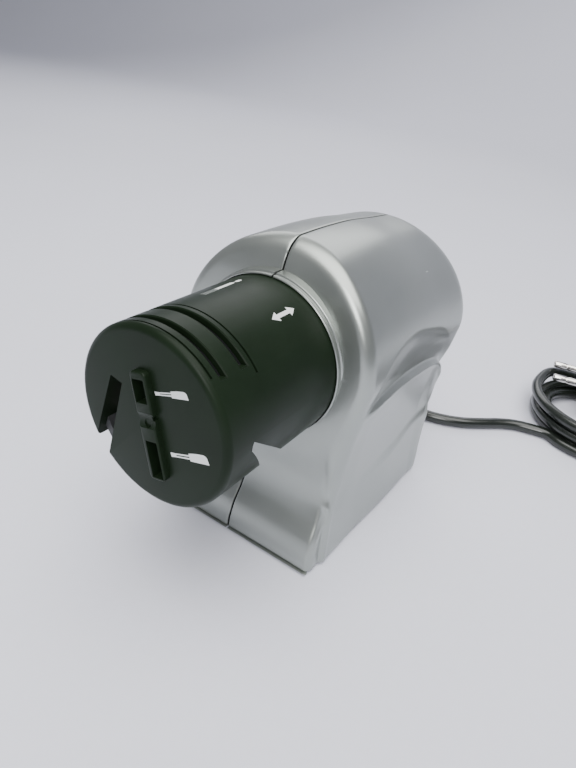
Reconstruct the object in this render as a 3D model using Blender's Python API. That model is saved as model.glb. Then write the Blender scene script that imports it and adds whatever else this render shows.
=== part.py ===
"""Mains electric sharpener for knives, scissors and screwdrivers.

A two-piece moulded housing stands on rubber feet and carries a round working head on its front.
The head has two knife slots on top, a scissors slot at each side and two screwdriver holes in its face.
It turns on an index ring and pulls forward a little; a small motor spins the grinding wheel inside it.
Units are metres, +Z is up, the head points to -Y, and the origin is on the floor under the middle.
"""

import math

import bmesh
import bpy
import numpy as np
from mathutils import Matrix, Vector

# ---------------------------------------------------------------- driving dimensions
GAP = 0.0003  # air between two pieces that lie against each other
HEAD_R = 0.0310  # outer radius of the working head
HEAD_LENGTH = 0.0574  # from the collar's front edge to the head's face
HEAD_TURN = math.radians(-14)  # how the head stands, away from knife slots straight up
HEAD_WALL = 0.0022
SKIRT_DEPTH = 0.0120  # how far the head reaches back into the collar
AXIS_Z = 0.0768  # height of the head's axis
COLLAR_Y = -0.0237  # front edge of the collar
BASE_Z = 0.0012  # lower edge of the housing
BASE_HALF_WIDTH = 0.0408
HOOD_R = 0.0434  # radius of the hood around the head's axis
WALL = 0.0024
SEAM_HALF = 0.0002  # half the seam between the two housing shells
WHEEL_R = 0.0240
WHEEL_FRONT = -0.0496  # faces of the grinding wheel, from the collar's front edge
WHEEL_REAR = -0.0434
SHAFT_R = 0.0016
CORD_D = 0.0060
EXIT_H = -0.0660  # height of the cord's exit, from the head's axis
COIL_CENTRE = (0.1110, 0.1920)  # middle of the coil on the floor, from the collar
COIL_INNER_R = 0.0270
COIL_OUTER_R = 0.0453
COIL_TOP = 0.0121
PLUG_PLACE = (0.0940, 0.2040)  # middle of the plug's pin face, from the collar
PLUG_HEIGHT = 0.0210
PLUG_TURN = math.radians(12)
PIN_R = 0.0020
PIN_SPACING = 0.0186

BASE_H = BASE_Z - AXIS_Z  # lower edge of the housing, from the axis


# ---------------------------------------------------------------- scene, materials and objects
def clear_scene():
    for item in list(bpy.data.objects):
        bpy.data.objects.remove(item, do_unlink=True)


def material(name, colour, roughness, metallic=0.0):
    made = bpy.data.materials.new(name)
    made.use_nodes = True
    shader = made.node_tree.nodes["Principled BSDF"]
    shader.inputs["Base Color"].default_value = (*colour, 1.0)
    shader.inputs["Roughness"].default_value = roughness
    shader.inputs["Metallic"].default_value = metallic
    return made


clear_scene()
SILVER = material("silver_paint", (0.46, 0.47, 0.46), 0.38, 0.6)
BLACK = material("black_plastic", (0.030, 0.034, 0.031), 0.42)
DARK = material("dark_plastic", (0.045, 0.045, 0.048), 0.55)
RUBBER = material("rubber", (0.025, 0.025, 0.025), 0.85)
STEEL = material("steel", (0.55, 0.55, 0.56), 0.30, 1.0)
STONE = material("grinding_stone", (0.62, 0.58, 0.55), 0.90)
BRASS = material("brass", (0.70, 0.52, 0.24), 0.30, 1.0)
COPPER = material("copper", (0.72, 0.38, 0.22), 0.35, 1.0)
MAGNET = material("ferrite", (0.09, 0.09, 0.10), 0.70)
CARBON = material("carbon", (0.05, 0.05, 0.05), 0.60)
BOARD = material("circuit_board", (0.09, 0.24, 0.12), 0.50)
WHITE = material("white_nylon", (0.78, 0.77, 0.73), 0.50)
PVC = material("black_pvc", (0.020, 0.020, 0.021), 0.33)
WIRE_RED = material("red_wire", (0.50, 0.05, 0.04), 0.45)
WIRE_BLUE = material("blue_wire", (0.06, 0.12, 0.42), 0.45)


def put(name, bm, surface, parent=None, smooth_angle=35):
    """A new object that holds the finished bmesh."""
    mesh = bpy.data.meshes.new(name)
    bmesh.ops.recalc_face_normals(bm, faces=bm.faces[:])
    bm.to_mesh(mesh)
    bm.free()
    mesh.materials.append(surface)
    mesh.shade_smooth()
    mesh.set_sharp_from_angle(angle=math.radians(smooth_angle))
    made = bpy.data.objects.new(name, mesh)
    bpy.context.collection.objects.link(made)
    made.parent = parent
    return made


def helper(made):
    """Marks an object that only cuts or joins another."""
    made.hide_render = True
    made.display_type = "WIRE"
    return made


def boolean(target, tools, operation):
    """One exact Boolean of the target with all the tools together."""
    count = sum(m.type == "BOOLEAN" for m in target.modifiers)
    group = bpy.data.collections.new(f"{target.name}_{operation.lower()}_{count}")
    for tool in tools:
        group.objects.link(helper(tool))
    step = target.modifiers.new(group.name, "BOOLEAN")
    step.operation = operation
    step.solver = "EXACT"
    step.operand_type = "COLLECTION"
    step.collection = group


def cut(target, *tools):
    boolean(target, tools, "DIFFERENCE")


def join(target, *tools):
    boolean(target, tools, "UNION")


def empty(name, place, turn=(0.0, 0.0, 0.0), parent=None):
    made = bpy.data.objects.new(name, None)
    bpy.context.collection.objects.link(made)
    made.location = place
    made.rotation_euler = turn
    made.parent = parent
    return made


# ---------------------------------------------------------------- basic shapes
def turned(name, outline, surface, parent=None, steps=32):
    """A (radius, y) outline turned about Y: closed, or starting and ending on the axis."""
    bm = bmesh.new()
    ring = [bm.verts.new((r, y, 0.0)) for r, y in outline]
    edges = [bm.edges.new((a, b)) for a, b in zip(ring, ring[1:])]
    if outline[0][0] > 0:
        edges.append(bm.edges.new((ring[-1], ring[0])))
    bmesh.ops.spin(
        bm, geom=ring + edges, cent=(0, 0, 0), axis=(0, 1, 0),
        angle=2 * math.pi, steps=steps, use_merge=True,
    )
    bmesh.ops.remove_doubles(bm, verts=bm.verts[:], dist=1e-6)
    return put(name, bm, surface, parent)


def tube(name, inner, outer, y0, y1, surface, parent=None, steps=32):
    outline = [(inner, y0), (outer, y0), (outer, y1), (inner, y1)]
    return turned(name, outline, surface, parent, steps)


def rod(name, radius, y0, y1, surface, parent=None, steps=24, chamfer=0.0):
    """A solid round bar along Y, its ends chamfered."""
    outline = [(0, y0), (radius - chamfer, y0), (radius, y0 + chamfer),
               (radius, y1 - chamfer), (radius - chamfer, y1), (0, y1)]
    if chamfer == 0.0:
        outline = [(0, y0), (radius, y0), (radius, y1), (0, y1)]
    return turned(name, outline, surface, parent, steps)


def block(name, low, high, surface, parent=None, bevel=0.0):
    """A box between two corners, its edges bevelled."""
    bm = bmesh.new()
    bmesh.ops.create_cube(bm, size=1.0)
    low, high = Vector(low), Vector(high)
    bmesh.ops.scale(bm, vec=high - low, verts=bm.verts[:])
    bmesh.ops.translate(bm, vec=(low + high) / 2, verts=bm.verts[:])
    if bevel:
        bmesh.ops.bevel(bm, geom=bm.edges[:], offset=bevel, segments=1, affect="EDGES")
    return put(name, bm, surface, parent)


def prism(name, outline, start, depth, surface, parent=None, along="Y"):
    """An outline extruded along Y from an (x, z) outline, or along X from a (y, z) one."""
    bm = bmesh.new()
    if along == "Y":
        corners = [(a, start, b) for a, b in outline]
        push = (0, depth, 0)
    elif along == "X":
        corners = [(start, a, b) for a, b in outline]
        push = (depth, 0, 0)
    else:
        corners = [(a, b, start) for a, b in outline]
        push = (0, 0, depth)
    face = bm.faces.new([bm.verts.new(c) for c in corners])
    grown = bmesh.ops.extrude_face_region(bm, geom=[face])["geom"]
    moved = [v for v in grown if isinstance(v, bmesh.types.BMVert)]
    bmesh.ops.translate(bm, vec=push, verts=moved)
    return put(name, bm, surface, parent)


def aim(made, place, direction):
    """Puts an object that was made along +Y at a place, pointing in a direction."""
    made.location = place
    made.rotation_euler = Vector((0, 1, 0)).rotation_difference(Vector(direction)).to_euler()
    return made


def screw(name, place, direction, head_r, head_l, shank_r, length, parent):
    """A pan-head screw with a dimpled head, driven from place along direction."""
    outline = [(0, head_l * 0.45), (head_r * 0.38, 0), (head_r * 0.8, 0), (head_r, head_l * 0.35),
               (head_r, head_l), (shank_r, head_l), (shank_r, length)]
    return aim(turned(name, outline + [(0, length)], STEEL, parent, 8), place, direction)


def arc(cx, cz, radius, start, end, count):
    """Points on an arc in degrees, from start to end."""
    angles = np.radians(np.linspace(start, end, count))
    return [(cx + radius * math.cos(a), cz + radius * math.sin(a)) for a in angles]


def rounded_rectangle(x0, x1, z0, z1, r, count=4):
    return (
        arc(x1 - r, z1 - r, r, 0, 90, count) + arc(x0 + r, z1 - r, r, 90, 180, count)
        + arc(x0 + r, z0 + r, r, 180, 270, count) + arc(x1 - r, z0 + r, r, 270, 360, count)
    )


def smooth_path(points, count):
    """Evenly spaced points on a smooth curve through the given ones."""
    p = np.array(points, float)
    p = np.vstack([2 * p[0] - p[1], p, 2 * p[-1] - p[-2]])
    fine = []
    for a, b, c, d in zip(p, p[1:], p[2:], p[3:]):
        for t in np.linspace(0, 1, 24, endpoint=False):
            fine.append(0.5 * (2 * b + (c - a) * t + (2 * a - 5 * b + 4 * c - d) * t**2
                               + (3 * b - a - 3 * c + d) * t**3))
    fine.append(p[-2])
    fine = np.array(fine)
    run = np.concatenate([[0], np.cumsum(np.linalg.norm(np.diff(fine, axis=0), axis=1))])
    at = np.linspace(0, run[-1], count)
    return np.stack([np.interp(at, run, fine[:, k]) for k in range(3)], axis=1)


def cable(name, points, radius, surface, sides=2):
    """A round cable along a chain of points, with closed ends."""
    curve = bpy.data.curves.new(name, "CURVE")
    curve.dimensions = "3D"
    curve.bevel_depth = radius
    curve.bevel_resolution = sides
    curve.use_fill_caps = True
    line = curve.splines.new("POLY")
    line.points.add(len(points) - 1)
    for spot, place in zip(line.points, points):
        spot.co = (*place, 1.0)
    curve.materials.append(surface)
    made = bpy.data.objects.new(name, curve)
    bpy.context.collection.objects.link(made)
    return made


def profile(pairs):
    """A smooth function through (position, value) pairs with rising positions."""
    x, y = (np.array(v, float) for v in zip(*pairs))
    slope = np.gradient(y, x)

    def value(at):
        at = min(max(at, x[0]), x[-1])
        i = min(max(int(np.searchsorted(x, at)) - 1, 0), len(x) - 2)
        w = x[i + 1] - x[i]
        t = (at - x[i]) / w
        return float(
            y[i] * (1 + 2 * t) * (1 - t) ** 2 + slope[i] * w * t * (1 - t) ** 2
            + y[i + 1] * t * t * (3 - 2 * t) + slope[i + 1] * w * t * t * (t - 1)
        )

    return value


# ---------------------------------------------------------------- housing shape
# Heights are from the head's axis, and depths from the collar's front edge.
FRONT = profile([
    (-0.0756, -0.0139), (-0.0707, -0.0133), (-0.0640, -0.0110), (-0.0560, -0.0063),
    (-0.0460, -0.0026), (-0.0310, -0.0008), (0.0, 0.0025), (0.0200, 0.0046),
    (0.0300, 0.0065), (0.0375, 0.0089), (0.0434, 0.0125),
])
REAR = profile([
    (-0.0756, 0.0813), (-0.0600, 0.0853), (-0.0440, 0.0895), (-0.0330, 0.0930),
    (-0.0200, 0.0983), (-0.0080, 0.1030), (0.0040, 0.1056), (0.0140, 0.1060), (0.0434, 0.1040),
])
SIDE = [(0.0418, -0.0140), (0.0400, -0.0250), (0.0390, -0.0380),
        (0.0389, -0.0500), (0.0396, -0.0620), (BASE_HALF_WIDTH, BASE_H)]
FRONT_ROUND = profile([(-0.0756, 0.0032), (-0.0580, 0.0040), (-0.0300, 0.0066),
                       (-0.0080, 0.0052), (0.0100, 0.0045), (0.0434, 0.0045)])
REAR_ROUND = profile([(-0.0756, 0.0060), (-0.0400, 0.0100), (0.0, 0.0155), (0.0434, 0.0195)])
RIDGE_DROP = profile([(0.0, 0.0), (0.0360, 0.0), (0.0520, 0.0008), (0.0698, 0.0028),
                      (0.0900, 0.0047), (0.1060, 0.0060)])


def arch(first_x, count):
    """Half of the front outline from its top down: (x, height, outward x, outward height)."""
    top = math.degrees(math.acos(first_x / HOOD_R))
    upper = arc(0, 0, HOOD_R, top, -4, int(count * 0.6))
    lower = smooth_path([(x, 0.0, h) for x, h in [upper[-1]] + SIDE], count - len(upper) + 1)
    line = np.array(upper + [(x, h) for x, _, h in lower[1:]])
    along = np.gradient(line, axis=0)
    along /= np.linalg.norm(along, axis=1)[:, None]
    outward = [(x / HOOD_R, h / HOOD_R) for x, h in upper[:-1]]
    outward += [(-dh, dx) for dx, dh in along[len(upper) - 1:]]
    return [(x, h, nx, nh) for (x, h), (nx, nh) in zip(line, outward)]


def grip(depth, height):
    """Depth of the finger scoop in the side."""
    u = (depth - 0.050) / 0.038
    v = (height - 0.0015 + 0.009 * u * u) / 0.0095
    return 0.0024 * max(0.0, 1 - u * u) * max(0.0, 1 - v * v)


def skin_point(x, h, nx, nh, inward, depth):
    """A point of the skin, inward from the outline point (x, h) and at a depth."""
    drop = RIDGE_DROP(depth) * max(nh, 0.0)
    side = x - nx * (inward + drop)
    height = h - nh * (inward + drop)
    if nx > 0.5:
        side -= grip(depth, height)
    return side, depth, height


def skin_line(x, h, nx, nh, inset, middle):
    """One front-to-rear line of the skin, all of it moved in by inset."""
    front_r = max(FRONT_ROUND(h) - inset, 0.0008)
    rear_r = max(REAR_ROUND(h) - inset, 0.0015)
    points = []
    for angle in np.radians((0, 22, 45, 68)):
        inward = inset + front_r * (1 - math.sin(angle))
        depth = FRONT(h - nh * inward) + inset + front_r * (1 - math.cos(angle))
        points.append(skin_point(x, h, nx, nh, inward, depth))
    start = FRONT(h) + inset + front_r
    end = REAR(h) - inset - rear_r
    for depth in np.linspace(start, end, middle):
        points.append(skin_point(x, h, nx, nh, inset, depth))
    for angle in np.radians((22, 42, 60, 76, 90)):
        inward = inset + rear_r * (1 - math.cos(angle))
        depth = REAR(h - nh * inward) - inset - rear_r * (1 - math.sin(angle))
        points.append(skin_point(x, h, nx, nh, inward, depth))
    return points


def half_body(name, side, inset, seam_x, rows, middle, below=0.0):
    """A closed solid of half the housing, moved in by inset, its flat side at seam_x."""
    lines = [skin_line(*p, inset, middle) for p in arch(seam_x, rows)]
    lines[0] = [(seam_x, y, z) for _, y, z in lines[0]]
    lines[-1] = [(x, y, BASE_H) for x, y, _ in lines[-1]]
    if below:
        lines.append([(x, y, z - below) for x, y, z in lines[-1]])
    bm = bmesh.new()
    grid = []
    for line in lines:
        (_, y0, z0), (_, y1, z1) = line[0], line[-1]
        row = [(seam_x, y0, z0)] + line + [(seam_x, y1, z1)]
        grid.append([bm.verts.new((side * x, y, z)) for x, y, z in row])
    for upper, lower in zip(grid, grid[1:]):
        for i in range(len(upper) - 1):
            bm.faces.new((upper[i], upper[i + 1], lower[i + 1], lower[i]))
    bm.faces.new(grid[-1])
    bm.faces.new(grid[0] + [grid[1][-1], grid[1][0]])
    for upper, lower in zip(grid[1:], grid[2:]):
        bm.faces.new((upper[0], lower[0], lower[-1], upper[-1]))
    bmesh.ops.remove_doubles(bm, verts=bm.verts[:], dist=2e-5)
    bmesh.ops.triangulate(bm, faces=bm.faces[:])
    return put(name, bm, SILVER, axis)


# ---------------------------------------------------------------- frames
axis = empty("axis_frame", (0, COLLAR_Y, AXIS_Z))
head = empty("head_frame", (0, 0, 0), (0, HEAD_TURN, 0), axis)
SWITCH_H = -0.0310
SWITCH_TILT = math.radians(-22)
switch = empty("switch_frame", (0, REAR(SWITCH_H), SWITCH_H), (SWITCH_TILT, 0, 0), axis)
plug = empty(
    "plug_frame", (PLUG_PLACE[0], PLUG_PLACE[1] + COLLAR_Y, PLUG_HEIGHT), (0, 0, PLUG_TURN)
)

# ---------------------------------------------------------------- housing shells
BORE_R = HEAD_R + 0.00035
COLLAR_R = HEAD_R + 0.0016
SLEEVE_END = 0.0140
RIB_Y = (0.0170, 0.0190)
BRACKET_SCREW_X = 0.0372
SHELL_SCREWS = (("front", 0.0060, -0.0520, 0.0378), ("rear", 0.0700, -0.0480, 0.0378),
                ("top", 0.0640, 0.0230, 0.0320))  # name, depth, height and reach of each boss
POSTS = ((0.0310, 0.0090), (0.0310, 0.0590))
POST_TOP = -0.0600


def side_block(name, side, low, high, parent):
    """A box whose x range is mirrored on the left side."""
    x0, x1 = sorted((side * low[0], side * high[0]))
    return block(name, (x0, *low[1:]), (x1, *high[1:]), SILVER, parent)


def housing(name, side):
    shell = half_body(name, side, 0.0, -0.0010, 25, 8)
    cut(shell, half_body(f"{name}_hollow", side, WALL, -0.0030, 13, 5, below=0.004))
    collar = turned(f"{name}_collar", [
        (0.0300, 0.0), (COLLAR_R, 0.0), (COLLAR_R, 0.0086), (COLLAR_R + 0.0012, 0.0096),
        (COLLAR_R + 0.0012, SLEEVE_END), (0.0300, SLEEVE_END),
    ], SILVER, axis, 40)
    rib = tube(f"{name}_rib", 0.0300, 0.0417, RIB_Y[0], RIB_Y[1], SILVER, axis, 36)
    lug = rod(f"{name}_lug", 0.0026, 0.0100, RIB_Y[1] - 0.0004, SILVER, axis, 14)
    lug.location = (side * BRACKET_SCREW_X, 0, 0)
    lug_hole = rod(f"{name}_lug_hole", 0.0015, 0.0115, 0.0300, SILVER, axis, 10)
    lug_hole.location = (side * BRACKET_SCREW_X, 0, 0)
    bore = rod(f"{name}_bore", BORE_R, -0.0200, SLEEVE_END + 0.0010, SILVER, axis, 44)
    gland_hole = rod(f"{name}_gland_hole", 0.0043, 0.0700, 0.1000, SILVER, axis, 16)
    gland_hole.location = (0, 0, EXIT_H)
    window = block(f"{name}_window", (-0.0096, -0.0200, -0.0066), (0.0096, 0.0200, 0.0066),
                   SILVER, switch)
    beyond = side_block(f"{name}_beyond", side, (-0.0700, -0.0500, -0.1000),
                        (SEAM_HALF, 0.1500, 0.0700), axis)
    solids = [collar, rib, lug]
    holes = [lug_hole, bore, gland_hole, window, beyond]
    for label, y, z, reach in SHELL_SCREWS:
        boss = rod(f"{name}_{label}_boss", 0.0045, -0.0010, reach, SILVER, axis, 14)
        solids.append(aim(boss, (0, y, z), (side, 0, 0)))
        line = [(0, -0.0020), (0.0017, -0.0020), (0.0017, 0.0150), (0, 0.0150)]
        if side < 0:
            line = [(0, -0.0020), (0.0017, -0.0020), (0.0017, 0.0120), (0.0033, 0.0120),
                    (0.0033, 0.0500), (0, 0.0500)]
        hole = turned(f"{name}_{label}_hole", line, SILVER, axis, 12)
        holes.append(aim(hole, (0, y, z), (side, 0, 0)))
    for x, y in POSTS:
        tag = f"{name}_post_{y * 1000:.0f}"
        post = rod(tag, 0.0033, 0.0, 0.0126, SILVER, axis, 14)
        solids.append(aim(post, (side * x, y, BASE_H + 0.0027), (0, 0, 1)))
        solids.append(side_block(f"{tag}_web", side, (x + 0.002, y - 0.0009, BASE_H + 0.0030),
                                 (x + 0.0078, y + 0.0009, POST_TOP - 0.0010), axis))
        hole = rod(f"{tag}_hole", 0.0015, -0.0010, 0.0110, SILVER, axis, 10)
        holes.append(aim(hole, (side * x, y, BASE_H + 0.0027), (0, 0, 1)))
    join(shell, *solids)
    cut(shell, *holes)
    return shell


housing("housing_right", 1)
housing("housing_left", -1)
for label, y, z, _ in SHELL_SCREWS:
    screw(f"shell_screw_{label}", (-0.0142, y, z), (1, 0, 0), 0.0029, 0.0020, 0.0014, 0.0260, axis)

# ---------------------------------------------------------------- base plate and feet
FOOT_PLACES = (("front_left", -0.0310, -0.0035), ("front_right", 0.0310, -0.0035),
               ("rear_left", -0.0310, 0.0710), ("rear_right", 0.0310, 0.0710))
PLATE_TOP = BASE_H + 0.0024
BOARD_H = -0.0622
BOARD_POSTS = [(x, y) for x in (-0.0125, 0.0125) for y in (0.0310, 0.0550)]
CLAMP_SCREW_X = 0.0067
CLAMP_Y = 0.0690

plate_outline = rounded_rectangle(-0.0376, 0.0376, -0.0108, 0.0784, 0.0042)
base = prism("base_plate", plate_outline, BASE_H, 0.0024, DARK, axis, "Z")
solids = [block("saddle", (-0.0025, 0.0660, PLATE_TOP - 0.0010), (0.0025, 0.0720, -0.0693),
                DARK, axis)]
holes = [
    block(f"vent_{i}", (x - 0.0014, 0.0010, -0.0800), (x + 0.0014, 0.0250, -0.0700), DARK, axis)
    for i, x in enumerate(np.linspace(-0.0150, 0.0150, 6))
]
for i, (x, y) in enumerate(BOARD_POSTS):
    post = turned(f"board_post_{i}", [(0, 0), (0.0023, 0), (0.0023, 0.0124), (0.0010, 0.0124),
                                      (0.0010, 0.0150), (0, 0.0150)], DARK, axis, 10)
    solids.append(aim(post, (x, y, BOARD_H - 0.0003 - 0.0124), (0, 0, 1)))
for x, tag in ((-CLAMP_SCREW_X, "left"), (CLAMP_SCREW_X, "right")):
    post = rod(f"clamp_post_{tag}", 0.0024, 0.0, 0.0112, DARK, axis, 10)
    solids.append(aim(post, (x, CLAMP_Y, PLATE_TOP - 0.0012), (0, 0, 1)))
    hole = rod(f"clamp_hole_{tag}", 0.0015, 0.0, 0.0150, DARK, axis, 10)
    holes.append(aim(hole, (x, CLAMP_Y, -0.0715), (0, 0, 1)))
for label, x, y in FOOT_PLACES:
    recess = rod(f"recess_{label}", 0.0054, 0.0, 0.0020, DARK, axis, 14)
    holes.append(aim(recess, (x, y, BASE_H - 0.0010), (0, 0, 1)))
    foot = rod(f"foot_{label}", 0.0050, 0.0, BASE_Z + 0.0007, RUBBER, axis, 14, 0.0004)
    aim(foot, (x, y, -AXIS_Z), (0, 0, 1))
for side in (-1, 1):
    for x, y in POSTS:
        tag = f"{'left' if side < 0 else 'right'}_{'front' if y < 0.03 else 'rear'}"
        hole = turned(f"base_hole_{tag}", [(0, -0.0010), (0.0033, -0.0010), (0.0033, 0.0012),
                                           (0.0017, 0.0012), (0.0017, 0.0050), (0, 0.0050)],
                      DARK, axis, 12)
        holes.append(aim(hole, (side * x, y, BASE_H), (0, 0, 1)))
        screw(f"base_screw_{tag}", (side * x, y, BASE_H - 0.0004), (0, 0, 1),
              0.0029, 0.0013, 0.0012, 0.0120, axis)
join(base, *solids)
cut(base, *holes)

# ---------------------------------------------------------------- head
FACE_Y = -HEAD_LENGTH
FACE_IN = FACE_Y + 0.0030
KNIFE_SLOTS = ((-0.0505, 0.0025), (-0.0414, 0.0028))  # middle and width of each slot
SLOT_FLOOR = 0.0155
KEY_ANGLES = (90, 210, 330)
SCISSOR_SLOT = [(-0.0132, 0.0130), (-0.0285, -0.0204), (-0.0270, -0.0235), (-0.0094, 0.0105)]
SIDE_SLOT = [(-0.0455, -0.0062), (-0.0379, -0.0114), (-0.0248, -0.0233), (-0.0248, -0.0330),
             (-0.0343, -0.0330), (-0.0343, -0.0233), (-0.0381, -0.0188), (-0.0445, -0.0112),
             (-0.0466, -0.0087)]


def openings(name, margin):
    """Cutters for the knife, scissors and side slots, with a margin around the knife slots."""
    cutters = []
    for i, (middle, width) in enumerate(KNIFE_SLOTS):
        half = width / 2 + margin
        cutters.append(block(f"{name}_knife_slot_{i}", (-0.0400, middle - half, SLOT_FLOOR - margin),
                             (0.0400, middle + half, 0.0400), BLACK, head))
    cutters.append(prism(f"{name}_scissor_slot", SCISSOR_SLOT, -0.0620, 0.0190, BLACK, head))
    cutters.append(prism(f"{name}_side_slot", SIDE_SLOT, 0.0040, 0.0310, BLACK, head, "X"))
    return cutters


rim = [(r, y) for r, y in arc(HEAD_R - 0.0025, FACE_Y + 0.0025, 0.0025, -90, 0, 5)]
inner = HEAD_R - HEAD_WALL
shell_line = [(0, FACE_Y)] + rim + [
    (HEAD_R, SKIRT_DEPTH), (inner, SKIRT_DEPTH), (inner, FACE_IN), (0, FACE_IN)
]
head_shell = turned("head_shell", shell_line, BLACK, head, 44)
rib_plate = prism("rib_plate", rounded_rectangle(-0.0024, 0.0043, -0.0198, 0.0171, 0.0015),
                  FACE_Y - 0.0022, 0.0030, BLACK, head)
join(head_shell, rib_plate)
holes = openings("head", 0.0)
for label, low, high in (("upper", (-0.0016, 0.0069), (0.0032, 0.0146)),
                         ("lower", (-0.0010, -0.0189), (0.0037, -0.0059))):
    holes.append(block(f"screwdriver_hole_{label}", (low[0], -0.0650, low[1]),
                       (high[0], -0.0500, high[1]), BLACK, head))
dimple = rod("rib_dimple", 0.0016, FACE_Y - 0.0040, FACE_Y - 0.0012, BLACK, head, 12)
dimple.location = (0.0012, 0, 0.0010)
holes.append(dimple)
for angle in KEY_ANGLES:
    groove = block(f"key_groove_{angle}", (-0.0018, -0.0036, 0.0280), (0.0018, 0.0140, 0.0300),
                   BLACK, head)
    groove.rotation_euler = (0, math.radians(angle - 90), 0)
    holes.append(groove)
cut(head_shell, *holes)

knife_guide = tube("knife_guide", 0.0254, inner - 0.0004, FACE_IN + GAP, -0.0380, DARK, head, 36)
cut(knife_guide, *openings("guide", 0.0002))

# ---------------------------------------------------------------- index ring and detent
hub_r = inner - 0.00035
index_ring = turned("index_ring", [(0.0270, -0.0040), (hub_r, -0.0040), (hub_r, SLEEVE_END + GAP),
                                   (0.0330, SLEEVE_END + GAP), (0.0330, RIB_Y[0] - GAP),
                                   (0.0270, RIB_Y[0] - GAP)], DARK, head, 36)
keys, notches = [], []
for angle in KEY_ANGLES:
    key = block(f"key_{angle}", (-0.0015, -0.0030, 0.0278), (0.0015, 0.0010, 0.0297), DARK, head)
    key.rotation_euler = (0, math.radians(angle - 90), 0)
    keys.append(key)
for angle in (60, 150, 240):
    notch = block(f"notch_{angle}", (-0.0020, 0.0100, 0.0318), (0.0020, 0.0200, 0.0360), DARK, head)
    notch.rotation_euler = (0, math.radians(90 - angle), 0)
    notches.append(notch)
join(index_ring, *keys)
cut(index_ring, *notches)

leaf = [(t, 0.0335 + 60.0 * t * t) for t in np.linspace(-0.0085, 0.0085, 7)]
leaf_outline = leaf + [(t, r + 0.0006) for t, r in reversed(leaf)]
detent = prism("detent_spring", leaf_outline, SLEEVE_END + 0.0004, 0.0022, STEEL, axis)
detent.rotation_euler = (0, math.radians(-60), 0)

# ---------------------------------------------------------------- motor and its bracket
CAN_R = 0.0175
CAN_Y = (-0.0120, 0.0380)
bracket = turned("motor_bracket", [
    (0.0080, -0.0140), (0.0202, -0.0140), (0.0202, 0.0193), (0.0395, 0.0193), (0.0395, 0.0219),
    (CAN_R + GAP, 0.0219), (CAN_R + GAP, -0.0123), (0.0080, -0.0123),
], WHITE, axis, 28)
holes = []
for i in range(4):
    angle = math.radians(45 + 90 * i)
    vent = rod(f"bracket_vent_{i}", 0.0042, 0.0150, 0.0300, WHITE, axis, 12)
    vent.location = (0.0300 * math.cos(angle), 0, 0.0300 * math.sin(angle))
    holes.append(vent)
for side, tag in ((-1, "left"), (1, "right")):
    hole = rod(f"bracket_hole_{tag}", 0.0015, 0.0150, 0.0300, WHITE, axis, 10)
    hole.location = (side * BRACKET_SCREW_X, 0, 0)
    holes.append(hole)
    screw(f"bracket_screw_{tag}", (side * BRACKET_SCREW_X, 0.0239, 0), (0, -1, 0),
          0.0022, 0.0017, 0.0012, 0.0110, axis)
    hole = rod(f"motor_hole_{tag}", 0.0015, -0.0200, -0.0100, WHITE, axis, 10)
    hole.location = (side * 0.0115, 0, 0)
    holes.append(hole)
    screw(f"motor_screw_{tag}", (side * 0.0115, -0.0158, 0), (0, 1, 0),
          0.0022, 0.0015, 0.0012, 0.0058, axis)
cut(bracket, *holes)

can = turned("motor_can", [
    (0.0036, CAN_Y[0]), (CAN_R - 0.0010, CAN_Y[0]), (CAN_R, CAN_Y[0] + 0.0010), (CAN_R, CAN_Y[1]),
    (CAN_R - 0.0012, CAN_Y[1]), (CAN_R - 0.0012, CAN_Y[0] + 0.0016), (0.0036, CAN_Y[0] + 0.0016),
], STEEL, axis, 24)
holes = []
for side, tag in ((-1, "left"), (1, "right")):
    hole = rod(f"can_hole_{tag}", 0.0015, -0.0200, -0.0080, STEEL, axis, 10)
    hole.location = (side * 0.0115, 0, 0)
    holes.append(hole)
    span = arc(0, 0, CAN_R - 0.0015, 50, -50, 9) + arc(0, 0, 0.0132, -50, 50, 9)
    magnet = prism(f"magnet_{tag}", span, -0.0070, 0.0340, MAGNET, axis)
    magnet.rotation_euler = (0, 0 if side > 0 else math.pi, 0)
cut(can, *holes)
tube("front_bearing", SHAFT_R + 0.00005, 0.0033, -0.0125, -0.0075, BRASS, axis, 24)
end_bell = turned("end_bell", [
    (0.0036, 0.0352), (0.0160, 0.0352), (0.0160, 0.0380), (0.0170, 0.0383), (0.0170, 0.0395),
    (0.0070, 0.0395), (0.0060, 0.0425), (0.0036, 0.0425),
], DARK, axis, 20)
solids, holes = [], []
for side, tag in ((-1, "lower"), (1, "upper")):
    low, high = sorted((side * 0.0052, side * 0.0130))
    holder = block(f"holder_{tag}", (-0.0030, 0.0270, low), (0.0030, 0.0356, high), DARK, axis)
    solids.append(holder)
    low, high = sorted((side * 0.0040, side * 0.0150))
    holes.append(block(f"holder_hole_{tag}", (-0.0018, 0.0282, low), (0.0018, 0.0324, high),
                       DARK, axis))
    low, high = sorted((side * 0.0048, side * 0.0115))
    block(f"brush_{tag}", (-0.0015, 0.0285, low), (0.0015, 0.0321, high), CARBON, axis)
join(end_bell, *solids)
cut(end_bell, *holes)
tube("rear_bearing", SHAFT_R + 0.00005, 0.0033, 0.0358, 0.0422, BRASS, axis, 24)

# ---------------------------------------------------------------- rotor and grinding wheel
rod("motor_shaft", SHAFT_R, -0.0524, 0.0435, STEEL, axis, 24, 0.0003)
BORE = SHAFT_R + GAP


def star(hub, arm, pole, rim_r, count, spread):
    """The outline of an armature with count poles."""
    points = []
    for k in range(count):
        turn = 360 * k / count
        foot = math.degrees(math.asin(arm / hub))
        neck = math.degrees(math.asin(arm / pole))
        for radius, angle in ((hub, -foot), (pole, -neck), (pole, -spread), (rim_r, -spread),
                              (rim_r, 0), (rim_r, spread), (pole, spread), (pole, neck),
                              (hub, foot)):
            a = math.radians(turn + angle)
            points.append((radius * math.cos(a), radius * math.sin(a)))
    return points


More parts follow.
